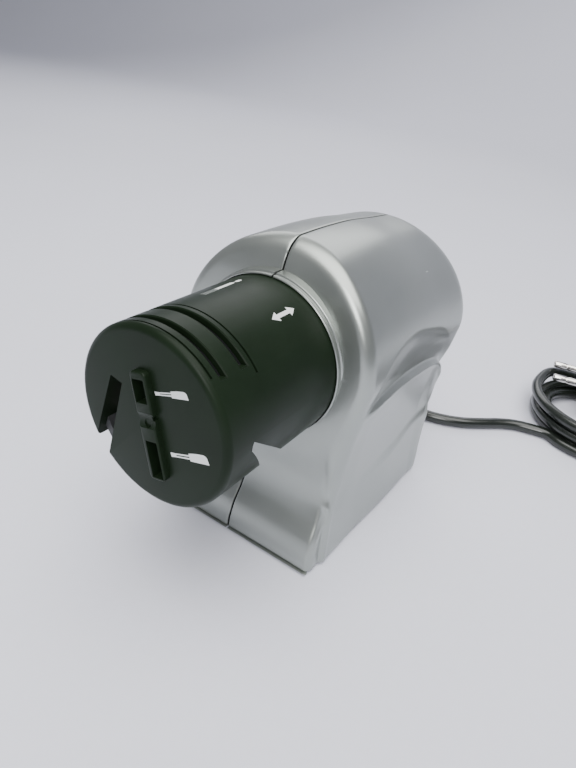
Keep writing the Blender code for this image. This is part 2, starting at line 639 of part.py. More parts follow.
core = prism("armature_core", star(0.0052, 0.0016, 0.0106, 0.0123, 5, 29), -0.0030, 0.0240,
             STEEL, axis)
cut(core, rod("core_bore", BORE, -0.0100, 0.0300, STEEL, axis, 24))
winding = tube("armature_winding", 0.0058, 0.0103, -0.0060, 0.0240, COPPER, axis, 20)
cut(winding, prism("core_room", star(0.0055, 0.0019, 0.0103, 0.0130, 5, 30), -0.0033, 0.0246,
                   COPPER, axis))
tube("commutator", BORE, 0.0045, 0.0262, 0.0330, COPPER, axis, 16)

fan = tube("cooling_fan", BORE, 0.0050, -0.0230, -0.0170, DARK, axis, 16)
blades = []
for i in range(8):
    blade = block(f"fan_blade_{i}", (0.0040, -0.0225, -0.0005), (0.0165, -0.0175, 0.0005),
                  DARK, axis)
    blade.rotation_euler = (0, math.radians(45 * i + 4), 0)
    blades.append(blade)
join(fan, *blades)

tube("grinding_wheel", 0.0030, WHEEL_R, WHEEL_FRONT, WHEEL_REAR, STONE, axis, 40)
turned("wheel_flange_rear", [(BORE, -0.0431), (0.0060, -0.0431), (0.0060, -0.0416),
                             (0.0038, -0.0410), (0.0038, -0.0370), (BORE, -0.0370)],
       BRASS, axis, 20)
tube("wheel_flange_front", BORE, 0.0060, -0.0507, -0.0499, BRASS, axis, 20)
tube("wheel_nut", BORE, 0.0032, -0.0522, -0.0510, BRASS, axis, 6)

# ---------------------------------------------------------------- electric parts in the base
board = block("circuit_board", (-0.0160, 0.0270, BOARD_H), (0.0160, 0.0590, BOARD_H + 0.0016),
              BOARD, axis)
holes = [
    aim(rod(f"board_hole_{i}", 0.0013, 0.0, 0.0060, BOARD, axis, 10),
        (x, y, BOARD_H - 0.0020), (0, 0, 1))
    for i, (x, y) in enumerate(BOARD_POSTS)
]
cut(board, *holes)
board_top = BOARD_H + 0.0016 + GAP
aim(rod("capacitor", 0.0050, 0.0, 0.0110, DARK, axis, 20, 0.0006), (0.0055, 0.0490, board_top),
    (0, 0, 1))
block("rectifier", (-0.0090, 0.0360, board_top), (0.0010, 0.0400, board_top + 0.0080), DARK,
      axis, 0.0005)

# ---------------------------------------------------------------- switch in the rear wall
switch_body = block("switch_body", (-0.0093, -0.0150, -0.0063), (0.0093, 0.0010, 0.0063), DARK,
                    switch)
join(switch_body, block("switch_bezel", (-0.0106, 0.0006, -0.0076), (0.0106, 0.0024, 0.0076),
                        DARK, switch, 0.0005))
cut(switch_body, block("switch_well", (-0.0078, -0.0065, -0.0053), (0.0078, 0.0060, 0.0053),
                       DARK, switch))
rocker_frame = empty("rocker_frame", (0, -0.0015, 0), (math.radians(-7), 0, 0), switch)
rocker = [(0.0050, 0.0043), (0.0034, 0.0), (0.0050, -0.0043), (0.0010, -0.0043),
          (-0.0030, -0.0022), (-0.0030, 0.0022), (0.0010, 0.0043)]
prism("rocker", rocker, -0.0074, 0.0148, BLACK, rocker_frame, "X")

# ---------------------------------------------------------------- cord, its holders and plug
FLOOR_H = CORD_D / 2 + 0.0001
bore_r = CORD_D / 2 + GAP
strain_relief = turned("strain_relief", [
    (bore_r, 0.0772), (0.0062, 0.0772), (0.0062, 0.0794), (0.0040, 0.0794), (0.0040, 0.0857),
    (0.0062, 0.0857), (0.0062, 0.0874), (0.0054, 0.0880), (0.0044, 0.1000), (bore_r, 0.1000),
], RUBBER, axis, 16)
strain_relief.location = (0, 0, EXIT_H)
clamp = block("cord_clamp", (-0.0095, CLAMP_Y - 0.0030, EXIT_H + bore_r),
              (0.0095, CLAMP_Y + 0.0030, EXIT_H + bore_r + 0.0026), WHITE, axis, 0.0004)
holes = []
for x, tag in ((-CLAMP_SCREW_X, "left"), (CLAMP_SCREW_X, "right")):
    hole = rod(f"clamp_bore_{tag}", 0.0015, -0.0010, 0.0060, WHITE, axis, 10)
    holes.append(aim(hole, (x, CLAMP_Y, EXIT_H + bore_r - 0.0010), (0, 0, 1)))
    screw(f"clamp_screw_{tag}", (x, CLAMP_Y, EXIT_H + bore_r + 0.0046), (0, 0, -1),
          0.0024, 0.0017, 0.0012, 0.0120, axis)
cut(clamp, *holes)

LEAD = [(0, 62, 10.8), (0, 75, 10.8), (0, 88, 10.8), (0, 100, 10.8), (1.4, 108.2, 10.0),
        (5.6, 115.4, 8.0), (12.0, 120.8, 5.4), (19.0, 123.4, 3.6), (27.0, 124.6, 3.1),
        (37.0, 127.2, 3.1), (47.0, 132.2, 3.1), (56.0, 139.6, 3.1), (64.0, 147.0, 3.1),
        (71.0, 151.9, 3.1), (78.5, 154.4, 3.1)]
TAIL = [(86.4, 223.5, 15.5), (75.0, 209.4, 15.5), (71.0, 192.0, 15.5), (73.9, 177.0, 15.5),
        (83.0, 163.5, 15.5), (97.0, 154.5, 15.5), (111.0, 152.0, 15.5), (124.2, 154.2, 15.3),
        (143.0, 160.8, 15.6), (161.0, 167.2, 12.4), (174.2, 176.4, 7.2), (179.0, 190.5, 4.6),
        (175.6, 203.6, 6.0), (166.5, 212.8, 11.0), (155.0, 216.4, 17.6), (148.8, 215.65, 20.6),
        (142.9, 214.4, 21.0), (137.0, 213.14, 21.0), (131.2, 211.9, 21.0)]


def route(points, count):
    """The cord's centre line on the floor, from millimetres that start at the collar."""
    placed = [(x / 1000, y / 1000 + COLLAR_Y, z / 1000) for x, y, z in points]
    return smooth_path(placed, count)


cable("cord_lead", route(LEAD, 14), CORD_D / 2, PVC)
cable("cord_tail", route(TAIL, 20), CORD_D / 2, PVC)
low, chamfer = 0.0001, 0.0013
coil = turned("cord_coil", [
    (COIL_INNER_R, low + chamfer), (COIL_INNER_R + chamfer, low), (COIL_OUTER_R - chamfer, low),
    (COIL_OUTER_R, low + chamfer), (COIL_OUTER_R, COIL_TOP - chamfer),
    (COIL_OUTER_R - chamfer, COIL_TOP), (COIL_INNER_R + chamfer, COIL_TOP),
    (COIL_INNER_R, COIL_TOP - chamfer),
], PVC, None, 32)
aim(coil, (COIL_CENTRE[0], COIL_CENTRE[1] + COLLAR_Y, 0), (0, 0, 1))

half_plug = [(0.0, 0.0155), (0.0020, 0.0172), (0.0140, 0.0172), (0.0300, 0.0080), (0.0330, 0.0065)]
plug_outline = half_plug + [(x, -y) for x, y in reversed(half_plug)]
plug_body = prism("plug_body", plug_outline, -0.0084, 0.0168, PVC, plug, "Z")
rounding = plug_body.modifiers.new("edge_rounding", "BEVEL")
rounding.width = 0.0018
rounding.segments = 2
rounding.limit_method = "ANGLE"
rounding.angle_limit = math.radians(50)
collar = turned("plug_collar", [(0, 0.0320), (0.0056, 0.0320), (0.0044, 0.0500), (0, 0.0500)],
                PVC, plug, 20)
join(plug_body, aim(collar, (0, 0, 0), (1, 0, 0)))
holes = [aim(rod("plug_bore", bore_r, 0.0365, 0.0600, PVC, plug, 20), (0, 0, 0), (1, 0, 0))]
for side, tag in ((-1, "front"), (1, "rear")):
    y = side * PIN_SPACING / 2
    hole = rod(f"pin_hole_{tag}", PIN_R + GAP, -0.0100, 0.0080, PVC, plug, 16)
    holes.append(aim(hole, (0, y, 0), (1, 0, 0)))
    pin = rod(f"plug_pin_{tag}", PIN_R, -0.0190, 0.0077, STEEL, plug, 16, 0.0008)
    aim(pin, (0, y, 0), (1, 0, 0))
cut(plug_body, *holes)
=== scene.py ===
"""Looks of the electric sharpener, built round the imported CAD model. Metres, +Z up, head towards -Y."""

import math

import bmesh
import bpy
import numpy as np
from mathutils import Matrix, Vector


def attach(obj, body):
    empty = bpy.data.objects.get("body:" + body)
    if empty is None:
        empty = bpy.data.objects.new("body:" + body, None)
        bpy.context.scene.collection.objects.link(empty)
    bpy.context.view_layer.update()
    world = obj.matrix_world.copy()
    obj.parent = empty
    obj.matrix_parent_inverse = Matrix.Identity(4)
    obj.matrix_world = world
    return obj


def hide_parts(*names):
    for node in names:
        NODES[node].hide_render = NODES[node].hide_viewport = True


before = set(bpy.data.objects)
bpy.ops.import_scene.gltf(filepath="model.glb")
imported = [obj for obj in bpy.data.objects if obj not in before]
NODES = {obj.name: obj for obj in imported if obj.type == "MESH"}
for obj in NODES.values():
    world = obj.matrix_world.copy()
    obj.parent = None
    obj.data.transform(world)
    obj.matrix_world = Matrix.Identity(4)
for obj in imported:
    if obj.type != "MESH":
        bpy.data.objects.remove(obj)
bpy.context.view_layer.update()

# ---------------------------------------------------------------- dimensions shared with the CAD
AXIS_Z = 0.0768
COLLAR_Y = -0.0237
BASE_H = 0.0012 - AXIS_Z
HOOD_R = 0.0434
HEAD_R = 0.0310
FACE_Y = -0.0574
FACE_IN = FACE_Y + 0.0030
HEAD_INNER = HEAD_R - 0.0022
BORE_R = HEAD_R + 0.00035
COLLAR_R = HEAD_R + 0.0016
SLEEVE_END = 0.0140
SEAM_HALF = 0.00042
WALL = 0.0024
EXIT_H = -0.0660
CORD_D = 0.0060
COIL_CENTRE = (0.1110, 0.1683)
PIN_SPACING = 0.0186

TO_AXIS = Matrix.Translation((0, COLLAR_Y, AXIS_Z))
TO_HEAD = TO_AXIS @ Matrix.Rotation(math.radians(-14), 4, "Y")
TO_SWITCH = Matrix.Translation((0, 0.070048, 0.0458)) @ Matrix.Rotation(math.radians(-22), 4, "X")
TO_ROCKER = TO_SWITCH @ Matrix.Translation((0, -0.0015, 0)) @ Matrix.Rotation(math.radians(-7), 4, "X")
TO_PLUG = Matrix.Translation((0.0940, 0.1803, 0.0210)) @ Matrix.Rotation(math.radians(12), 4, "Z")
UPRIGHT = Matrix.Rotation(math.radians(90), 4, "X")


# ---------------------------------------------------------------- camera
def make_camera():
    yaw, pitch, roll = (math.radians(a) for a in (31.26, 30.77, 7.11))
    forward = Vector((-math.sin(yaw) * math.cos(pitch), math.cos(yaw) * math.cos(pitch),
                      -math.sin(pitch)))
    right = Vector((math.cos(yaw), math.sin(yaw), 0))
    up = right.cross(forward)
    across = math.cos(roll) * right + math.sin(roll) * up
    above = -math.sin(roll) * right + math.cos(roll) * up
    data = bpy.data.cameras.new("camera")
    data.lens = 28.80
    data.sensor_width = 36.0
    data.clip_start = 0.01
    made = bpy.data.objects.new("camera", data)
    turn = Matrix((across, above, -forward)).transposed()
    made.matrix_world = Matrix.Translation((0.11332, -0.19003, 0.18623)) @ turn.to_4x4()
    bpy.context.scene.collection.objects.link(made)
    bpy.context.scene.camera = made


make_camera()


# ---------------------------------------------------------------- materials
def noise(nodes, links, coords, scale, detail=3.0, stretch=(1, 1, 1)):
    """A noise pattern in object space."""
    mapping = nodes.new("ShaderNodeMapping")
    mapping.inputs["Scale"].default_value = stretch
    links.new(coords.outputs["Object"], mapping.inputs["Vector"])
    made = nodes.new("ShaderNodeTexNoise")
    made.inputs["Scale"].default_value = scale
    made.inputs["Detail"].default_value = detail
    links.new(mapping.outputs["Vector"], made.inputs["Vector"])
    return made.outputs["Fac"]


def surface(name, colour, roughness, metallic=0.0, vary=0.10, rough_vary=0.10, mottle=45.0,
            grain=1800.0, bump=0.06, depth=0.0001, specular=0.5, stretch=(1, 1, 1)):
    """A material whose colour, roughness and relief vary the way a real moulded or worked one does."""
    made = bpy.data.materials.new(name)
    made.use_nodes = True
    nodes, links = made.node_tree.nodes, made.node_tree.links
    shader = nodes["Principled BSDF"]
    shader.inputs["Metallic"].default_value = metallic
    shader.inputs["Specular IOR Level"].default_value = specular
    coords = nodes.new("ShaderNodeTexCoord")
    broad = noise(nodes, links, coords, mottle, 4.0)
    fine = noise(nodes, links, coords, grain, 2.0, stretch)
    blend = nodes.new("ShaderNodeMath")
    blend.operation = "MULTIPLY_ADD"
    blend.inputs[1].default_value = 0.5
    links.new(fine, blend.inputs[0])
    links.new(broad, blend.inputs[2])
    ramp = nodes.new("ShaderNodeValToRGB")
    ramp.color_ramp.elements[0].position = 0.45
    ramp.color_ramp.elements[0].color = (*[c * (1 - vary) for c in colour], 1)
    ramp.color_ramp.elements[1].color = (*[min(c * (1 + vary), 1) for c in colour], 1)
    links.new(blend.outputs["Value"], ramp.inputs["Fac"])
    links.new(ramp.outputs["Color"], shader.inputs["Base Color"])
    scale = nodes.new("ShaderNodeMapRange")
    scale.inputs["From Min"].default_value = 0.3
    scale.inputs["From Max"].default_value = 0.7
    scale.inputs["To Min"].default_value = max(roughness - rough_vary, 0.02)
    scale.inputs["To Max"].default_value = min(roughness + rough_vary, 1.0)
    links.new(broad, scale.inputs["Value"])
    links.new(scale.outputs["Result"], shader.inputs["Roughness"])
    relief = nodes.new("ShaderNodeBump")
    relief.inputs["Strength"].default_value = bump
    relief.inputs["Distance"].default_value = depth
    links.new(fine, relief.inputs["Height"])
    links.new(relief.outputs["Normal"], shader.inputs["Normal"])
    return made


SILVER = surface("silver_paint", (0.345, 0.366, 0.345), 0.31, 0.85, vary=0.07, rough_vary=0.03,
                 mottle=30, grain=5200, bump=0.05, depth=0.00004)
BLACK = surface("black_plastic", (0.0075, 0.0142, 0.0068), 0.36, vary=0.16, rough_vary=0.05,
                mottle=60, grain=4200, bump=0.10, depth=0.00004, specular=0.11)
DARK = surface("dark_plastic", (0.030, 0.031, 0.033), 0.52, grain=3000, bump=0.12)
RUBBER = surface("rubber", (0.022, 0.022, 0.022), 0.82, grain=2600, bump=0.25)
STEEL = surface("steel", (0.56, 0.56, 0.57), 0.27, 1.0, vary=0.05, grain=900, bump=0.06,
                stretch=(1, 9, 1))
PIN = surface("plated_pin", (0.70, 0.68, 0.65), 0.20, 1.0, vary=0.06, grain=1200, bump=0.04)
STONE = surface("grinding_stone", (0.22, 0.20, 0.19), 0.92, vary=0.25, grain=3400, mottle=900,
                bump=0.9, depth=0.0002)
BRASS = surface("brass", (0.70, 0.50, 0.22), 0.28, 1.0, vary=0.08, grain=1500, bump=0.08)
COPPER = surface("copper", (0.72, 0.36, 0.20), 0.33, 1.0, grain=700, bump=0.5, stretch=(1, 6, 1))
FERRITE = surface("ferrite", (0.085, 0.085, 0.09), 0.72, grain=2200, bump=0.3)
CARBON = surface("carbon", (0.045, 0.045, 0.045), 0.62, grain=2600, bump=0.3)
BOARD = surface("circuit_board", (0.06, 0.20, 0.10), 0.42, vary=0.18, grain=1400, bump=0.12)
NYLON = surface("white_nylon", (0.76, 0.75, 0.70), 0.48, vary=0.04, grain=1800, bump=0.08)
PVC = surface("black_pvc", (0.010, 0.013, 0.010), 0.24, vary=0.2, rough_vary=0.05, mottle=80,
              grain=1500, bump=0.05, specular=0.6)
SHADE = surface("joint_shadow", (0.006, 0.007, 0.006), 0.8, grain=2000, bump=0.1, specular=0.1)
PRINT = surface("white_print", (0.74, 0.76, 0.74), 0.55, vary=0.05, grain=4000, bump=0.05)
PRINT_GREY = surface("grey_print", (0.22, 0.24, 0.23), 0.55, vary=0.08, grain=4000, bump=0.05)

CARRIED = {
    "base_plate": DARK, "detent_spring": STEEL, "motor_bracket": NYLON, "motor_can": STEEL,
    "magnet_left": FERRITE, "magnet_right": FERRITE, "front_bearing": BRASS, "rear_bearing": BRASS,
    "end_bell": DARK, "brush_lower": CARBON, "brush_upper": CARBON, "circuit_board": BOARD,
    "capacitor": DARK, "rectifier": DARK, "cord_clamp": NYLON, "index_ring": DARK,
    "knife_guide": DARK, "motor_shaft": STEEL, "armature_core": STEEL, "armature_winding": COPPER,
    "commutator": COPPER, "cooling_fan": DARK, "grinding_wheel": STONE,
    "wheel_flange_front": BRASS, "wheel_flange_rear": BRASS, "wheel_nut": BRASS,
}
for name, node in NODES.items():
    finish = CARRIED.get(name, STEEL if "screw" in name else None)
    if finish is not None:
        node.data.materials.clear()
        node.data.materials.append(finish)


# ---------------------------------------------------------------- shape helpers
def solid(name, bm, finish, place=TO_AXIS, sharp=32):
    """An object in the row frame that holds the finished bmesh."""
    face_out(bm)
    bmesh.ops.transform(bm, matrix=place, verts=bm.verts[:])
    mesh = bpy.data.meshes.new(name)
    bm.to_mesh(mesh)
    bm.free()
    made = bpy.data.objects.new(name, mesh)
    bpy.context.scene.collection.objects.link(made)
    return polish(made, finish, sharp)


def face_out(bm):
    """Turns all faces of a closed form outwards."""
    bmesh.ops.recalc_face_normals(bm, faces=bm.faces[:])
    if bm.calc_volume(signed=True) < 0:
        bmesh.ops.reverse_faces(bm, faces=bm.faces[:])


def polish(made, finish, sharp=32):
    """One material, smooth faces, and sharp edges where the faces turn by more than an angle."""
    mesh = made.data
    mesh.materials.clear()
    mesh.materials.append(finish)
    mesh.polygons.foreach_set("material_index", [0] * len(mesh.polygons))
    mesh.shade_smooth()
    mesh.set_sharp_from_angle(angle=math.radians(sharp))
    return made


def combine(target, tools, operation, finish):
    """The Boolean of the target with all the tools, which are then gone."""
    group = bpy.data.collections.new("tools")
    for tool in tools:
        group.objects.link(tool)
    modifier = target.modifiers.new("combine", "BOOLEAN")
    modifier.operation = operation
    modifier.solver = "MANIFOLD"
    modifier.operand_type = "COLLECTION"
    modifier.collection = group
    graph = bpy.context.evaluated_depsgraph_get()
    mesh = bpy.data.meshes.new_from_object(target.evaluated_get(graph))
    target.modifiers.clear()
    target.data = mesh
    for tool in tools:
        bpy.data.objects.remove(tool, do_unlink=True)
    bpy.data.collections.remove(group)
    return polish(target, finish)


def revolve(outline, start=0.0, end=360.0, steps=96):
    """A bmesh of a (radius, y) outline turned about Y, between two own angles where it is a sector."""
    bm = bmesh.new()
    first = math.radians(start)
    ring = [bm.verts.new((r * math.cos(first), y, r * math.sin(first))) for r, y in outline]
    closed = outline[0][0] > 0
    edges = [bm.edges.new((a, b)) for a, b in zip(ring, ring[1:])]
    if closed:
        edges.append(bm.edges.new((ring[-1], ring[0])))
    full = abs(end - start - 360) < 1e-6
    grown = bmesh.ops.spin(bm, geom=ring + edges, cent=(0, 0, 0), axis=(0, -1, 0),
                           angle=math.radians(end - start), steps=steps, use_merge=full)
    if not full:
        last = [g for g in grown["geom_last"] if isinstance(g, bmesh.types.BMVert)]
        bm.faces.new(ring)
        bm.faces.new(last)
    bmesh.ops.remove_doubles(bm, verts=bm.verts[:], dist=1e-6)
    return bm


def turned(name, outline, finish, place=TO_AXIS, steps=96):
    return solid(name, revolve(outline, steps=steps), finish, place)


def block(name, low, high, finish, place=TO_AXIS, turn=None):
    bm = bmesh.new()
    bmesh.ops.create_cube(bm, size=1.0)
    low, high = Vector(low), Vector(high)
    bmesh.ops.scale(bm, vec=high - low, verts=bm.verts[:])
    bmesh.ops.translate(bm, vec=(low + high) / 2, verts=bm.verts[:])
    return solid(name, bm, finish, place if turn is None else place @ turn)


def prism(name, outline, start, depth, finish, place=TO_AXIS, along="Y", rounding=0.0):
    """An outline pushed along an axis; rounding softens the edges of its starting face."""
    lay = {"Y": lambda a, b: (a, start, b), "X": lambda a, b: (start, a, b)}[along]
    push = {"Y": (0, depth, 0), "X": (depth, 0, 0)}[along]
    bm = bmesh.new()
    face = bm.faces.new([bm.verts.new(lay(a, b)) for a, b in outline])
    rim = list(face.edges)
    grown = bmesh.ops.extrude_face_region(bm, geom=[face], use_keep_orig=True)["geom"]
    bmesh.ops.translate(bm, vec=push, verts=[v for v in grown if isinstance(v, bmesh.types.BMVert)])
    bmesh.ops.recalc_face_normals(bm, faces=bm.faces[:])
    if rounding:
        bmesh.ops.bevel(bm, geom=rim, offset=rounding, segments=3, profile=0.5,
                        affect="EDGES", clamp_overlap=True)
    return solid(name, bm, finish, place)


def arc(cx, cz, radius, start, end, count):
    angles = np.radians(np.linspace(start, end, count))
    return [(cx + radius * math.cos(a), cz + radius * math.sin(a)) for a in angles]


def rounded_rectangle(x0, x1, z0, z1, r):
    count = 7
    return (arc(x1 - r, z1 - r, r, 0, 90, count) + arc(x0 + r, z1 - r, r, 90, 180, count)
            + arc(x0 + r, z0 + r, r, 180, 270, count) + arc(x1 - r, z0 + r, r, 270, 360, count))


def bridge(bm, rings):
    """Closes a row of equal rings into one form with flat ends."""
    count = len(rings[0])
    for a, b in zip(rings, rings[1:]):
        for i in range(count):
            bm.faces.new((a[i], a[(i + 1) % count], b[(i + 1) % count], b[i]))
    bm.faces.new(rings[0])
    bm.faces.new(rings[-1])


def smooth_path(points, count):
    """Evenly spaced points on a smooth curve through the given ones."""
    p = np.array(points, float)
    p = np.vstack([2 * p[0] - p[1], p, 2 * p[-1] - p[-2]])
    fine = []
    for a, b, c, d in zip(p, p[1:], p[2:], p[3:]):
        for t in np.linspace(0, 1, 24, endpoint=False):
            fine.append(0.5 * (2 * b + (c - a) * t + (2 * a - 5 * b + 4 * c - d) * t**2
                               + (3 * b - a - 3 * c + d) * t**3))
    fine.append(p[-2])
    fine = np.array(fine)
    run = np.concatenate([[0], np.cumsum(np.linalg.norm(np.diff(fine, axis=0), axis=1))])
    at = np.linspace(0, run[-1], count)
    return np.stack([np.interp(at, run, fine[:, k]) for k in range(fine.shape[1])], axis=1)


def profile(pairs):
    """A smooth function through (position, value) pairs with rising positions."""
    x, y = (np.array(v, float) for v in zip(*pairs))
    slope = np.gradient(y, x)

    def value(at):
        at = min(max(at, x[0]), x[-1])
        i = min(max(int(np.searchsorted(x, at)) - 1, 0), len(x) - 2)
        w = x[i + 1] - x[i]
        t = (at - x[i]) / w
        return float(y[i] * (1 + 2 * t) * (1 - t) ** 2 + slope[i] * w * t * (1 - t) ** 2
                     + y[i + 1] * t * t * (3 - 2 * t) + slope[i + 1] * w * t * t * (t - 1))

    return value


def step(value, low, high):
    """0 below low, 1 above high and smooth between them."""
    t = np.clip((value - low) / (high - low), 0, 1)
    return t * t * (3 - 2 * t)


# ---------------------------------------------------------------- cord, coil and plug
LEAD = [(0, 62, 10.8), (0, 75, 10.8), (0, 88, 10.8), (0, 100, 10.8), (1.4, 108.2, 10.0),
        (5.6, 115.4, 8.0), (12.0, 120.8, 5.4), (19.0, 123.4, 3.6), (27.0, 124.6, 3.1),
        (37.0, 127.2, 3.1), (47.0, 132.2, 3.1), (56.0, 139.6, 3.1), (64.0, 147.0, 3.1),
        (71.0, 151.9, 3.1), (78.5, 154.4, 3.1)]
TAIL = [(86.4, 223.5, 15.5), (75.0, 209.4, 15.5), (71.0, 192.0, 15.5), (73.9, 177.0, 15.5),
        (83.0, 163.5, 15.5), (97.0, 154.5, 15.5), (111.0, 152.0, 15.5), (124.2, 154.2, 15.3),
        (143.0, 160.8, 15.6), (161.0, 167.2, 12.4), (174.2, 176.4, 7.2), (179.0, 190.5, 4.6),
        (175.6, 203.6, 6.0), (166.5, 212.8, 11.0), (155.0, 216.4, 17.6), (148.8, 215.65, 20.6),
        (142.9, 214.4, 21.0), (137.0, 213.14, 21.0), (131.2, 211.9, 21.0)]
COIL_START = 238.0  # where the lead has joined the outermost turn, in degrees
COIL_END = 128.0 + 5 * 360.0  # where the cord leaves the coil again
LAYERS = [(42.3, 3.1), (36.3, 3.1), (30.3, 3.1), (33.3, 9.1), (39.3, 9.1), (40.0, 15.5)]


def coil_point(angle):
    """The cord's centre in the coil: it stays on one turn and moves to the next near its end."""
    turns = (angle - COIL_START) / 360.0
    index = min(int(turns), len(LAYERS) - 2)
    part = turns - index
    move = float(step(part, 0.62, 0.98))
    (r0, z0), (r1, z1) = LAYERS[index], LAYERS[index + 1]
    radius, height = r0 + (r1 - r0) * move, z0 + (z1 - z0) * move
    a = math.radians(angle)
    return (COIL_CENTRE[0] * 1000 + radius * math.cos(a),
            (COIL_CENTRE[1] - COLLAR_Y) * 1000 + radius * math.sin(a), height)


def cord_path():
    turns = [coil_point(a) for a in np.arange(COIL_START, COIL_END - 8, 12.0)]
    points = np.array(LEAD + turns + TAIL[1:], float) / 1000
    points[:, 1] += COLLAR_Y
    run = np.linalg.norm(np.diff(points, axis=0), axis=1).sum()
    return smooth_path(points, int(run / 0.0016))


def sweep(name, path, half_width, half_height, finish, sides=20, groove=0.0):
    """A tube along a path with an oval section that keeps its flat side down, and closed ends."""
    path = np.array(path)
    along = np.gradient(path, axis=0)
    along /= np.linalg.norm(along, axis=1)[:, None]
    across = np.cross(along, (0, 0, 1))
    across /= np.linalg.norm(across, axis=1)[:, None]
    above = np.cross(across, along)
    bm = bmesh.new()
    rings = []
    for centre, u, v in zip(path, across, above):
        ring = []
        for a in np.linspace(0, 2 * math.pi, sides, endpoint=False):
            dent = 1 - groove * math.exp(-((math.cos(a) / 0.22) ** 2))
            place = centre + u * half_width * math.cos(a) + v * half_height * dent * math.sin(a)
            ring.append(bm.verts.new(place))
        rings.append(ring)
    bridge(bm, rings)
    return solid(name, bm, finish, Matrix.Identity(4), 50)


def loft(name, sections, finish, place, power=3.2, sides=56):
    """A closed form through superellipse sections (x, half width, half thickness) along X."""
    bm = bmesh.new()
    rings = []
    for x, half_w, half_t in sections:
        ring = []
        for a in np.linspace(0, 2 * math.pi, sides, endpoint=False):
            c, s = math.cos(a), math.sin(a)
            ring.append(bm.verts.new((x, half_w * math.copysign(abs(c) ** (2 / power), c),
                                      half_t * math.copysign(abs(s) ** (2 / power), s))))
        rings.append(ring)
    bridge(bm, rings)
    return solid(name, bm, finish, place, 40)


path = cord_path()
cord = sweep("power_cord", path, CORD_D / 2, CORD_D / 2 * 0.97, PVC, groove=0.05)
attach(cord, "housing")
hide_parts("cord_lead", "cord_coil", "cord_tail")

along_x = Matrix.Rotation(math.radians(-90), 4, "Z")
body_outline = [(0.0000, 0.0150, 0.0068), (0.0004, 0.0160, 0.0078), (0.0014, 0.0169, 0.0083),
                (0.0030, 0.0172, 0.0084), (0.0090, 0.0173, 0.0084), (0.0140, 0.0170, 0.0084),
                (0.0180, 0.0158, 0.0083), (0.0220, 0.0138, 0.0081), (0.0260, 0.0112, 0.0076),
                (0.0295, 0.0086, 0.0069), (0.0320, 0.0070, 0.0062), (0.0335, 0.0062, 0.0058),
                (0.0342, 0.0054, 0.0052)]
plug_body = loft("plug_shell", body_outline, PVC, TO_PLUG)
sleeve = []
for i in range(6):
    x = 0.0345 + 0.0025 * i
    r = 0.0056 - 0.00022 * i
    sleeve += [(r - 0.0008, x - 0.0004), (r, x), (r, x + 0.0012), (r - 0.0008, x + 0.0016)]
sleeve = [(0.0031, 0.0335)] + sleeve + [(0.0040, 0.0500), (0.0031, 0.0500)]
plug_sleeve = turned("plug_sleeve", sleeve, PVC, TO_PLUG @ along_x, 48)
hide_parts("plug_body")
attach(plug_body, "housing")
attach(plug_sleeve, "housing")
PIN_R, PIN_TIP, PIN_ROUND = 0.0020, -0.0190, 0.0012
for offset, tag in ((-1, "front"), (1, "rear")):
    tip = [(PIN_R - PIN_ROUND + PIN_ROUND * math.sin(a), PIN_TIP + PIN_ROUND * (1 - math.cos(a)))
           for a in np.linspace(0, math.pi / 2, 7)]
    line = [(0.0, PIN_TIP)] + tip + [(PIN_R, -0.0125), (0.00175, -0.0118), (0.00175, -0.0108),
                                     (PIN_R, -0.0101), (PIN_R, 0.0040), (0.0, 0.0040)]
    spot = TO_PLUG @ Matrix.Translation((0, offset * PIN_SPACING / 2, 0)) @ along_x
    pin = turned(f"plug_pin_{tag}_fine", line, PIN, spot, 40)
    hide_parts(f"plug_pin_{tag}")
    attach(pin, "housing")

relief = [(0.0031, 0.0772), (0.0062, 0.0772), (0.0062, 0.0794), (0.0040, 0.0794), (0.0040, 0.0857),
          (0.0058, 0.0857), (0.0062, 0.0861), (0.0062, 0.0870), (0.0058, 0.0875), (0.0050, 0.0878)]
for i in range(5):
    y = 0.0884 + 0.0023 * i
    r = 0.0055 - 0.0002 * i
    relief += [(r - 0.0009, y - 0.0003), (r, y), (r, y + 0.0010), (r - 0.0009, y + 0.0013)]
relief += [(0.0042, 0.0998), (0.0031, 0.1000)]
strain = turned("cord_grommet", relief, RUBBER, TO_AXIS @ Matrix.Translation((0, 0, EXIT_H)), 48)
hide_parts("strain_relief")
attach(strain, "housing")

# ---------------------------------------------------------------- housing
FRONT = profile([
    (-0.0756, -0.0139), (-0.0707, -0.0133), (-0.0640, -0.0110), (-0.0560, -0.0063),
    (-0.0460, -0.0026), (-0.0310, -0.0008), (0.0, 0.0025), (0.0200, 0.0046),
    (0.0300, 0.0065), (0.0375, 0.0089), (0.0434, 0.0125),
])
REAR = profile([
    (-0.0756, 0.0813), (-0.0600, 0.0853), (-0.0440, 0.0895), (-0.0330, 0.0930),
    (-0.0200, 0.0983), (-0.0080, 0.1030), (0.0040, 0.1056), (0.0140, 0.1060), (0.0434, 0.1040),
])
SIDE = [(0.0418, -0.0140), (0.0400, -0.0250), (0.0390, -0.0380),
        (0.0389, -0.0500), (0.0396, -0.0620), (0.0408, BASE_H)]
FRONT_ROUND = profile([(-0.0756, 0.0032), (-0.0580, 0.0040), (-0.0300, 0.0066),
                       (-0.0080, 0.0052), (0.0100, 0.0045), (0.0434, 0.0045)])
REAR_ROUND = profile([(-0.0756, 0.0060), (-0.0400, 0.0100), (0.0, 0.0155), (0.0434, 0.0195)])
RIDGE_DROP = profile([(0.0, 0.0), (0.0360, 0.0), (0.0520, 0.0008), (0.0698, 0.0028),
                      (0.0900, 0.0047), (0.1060, 0.0060)])
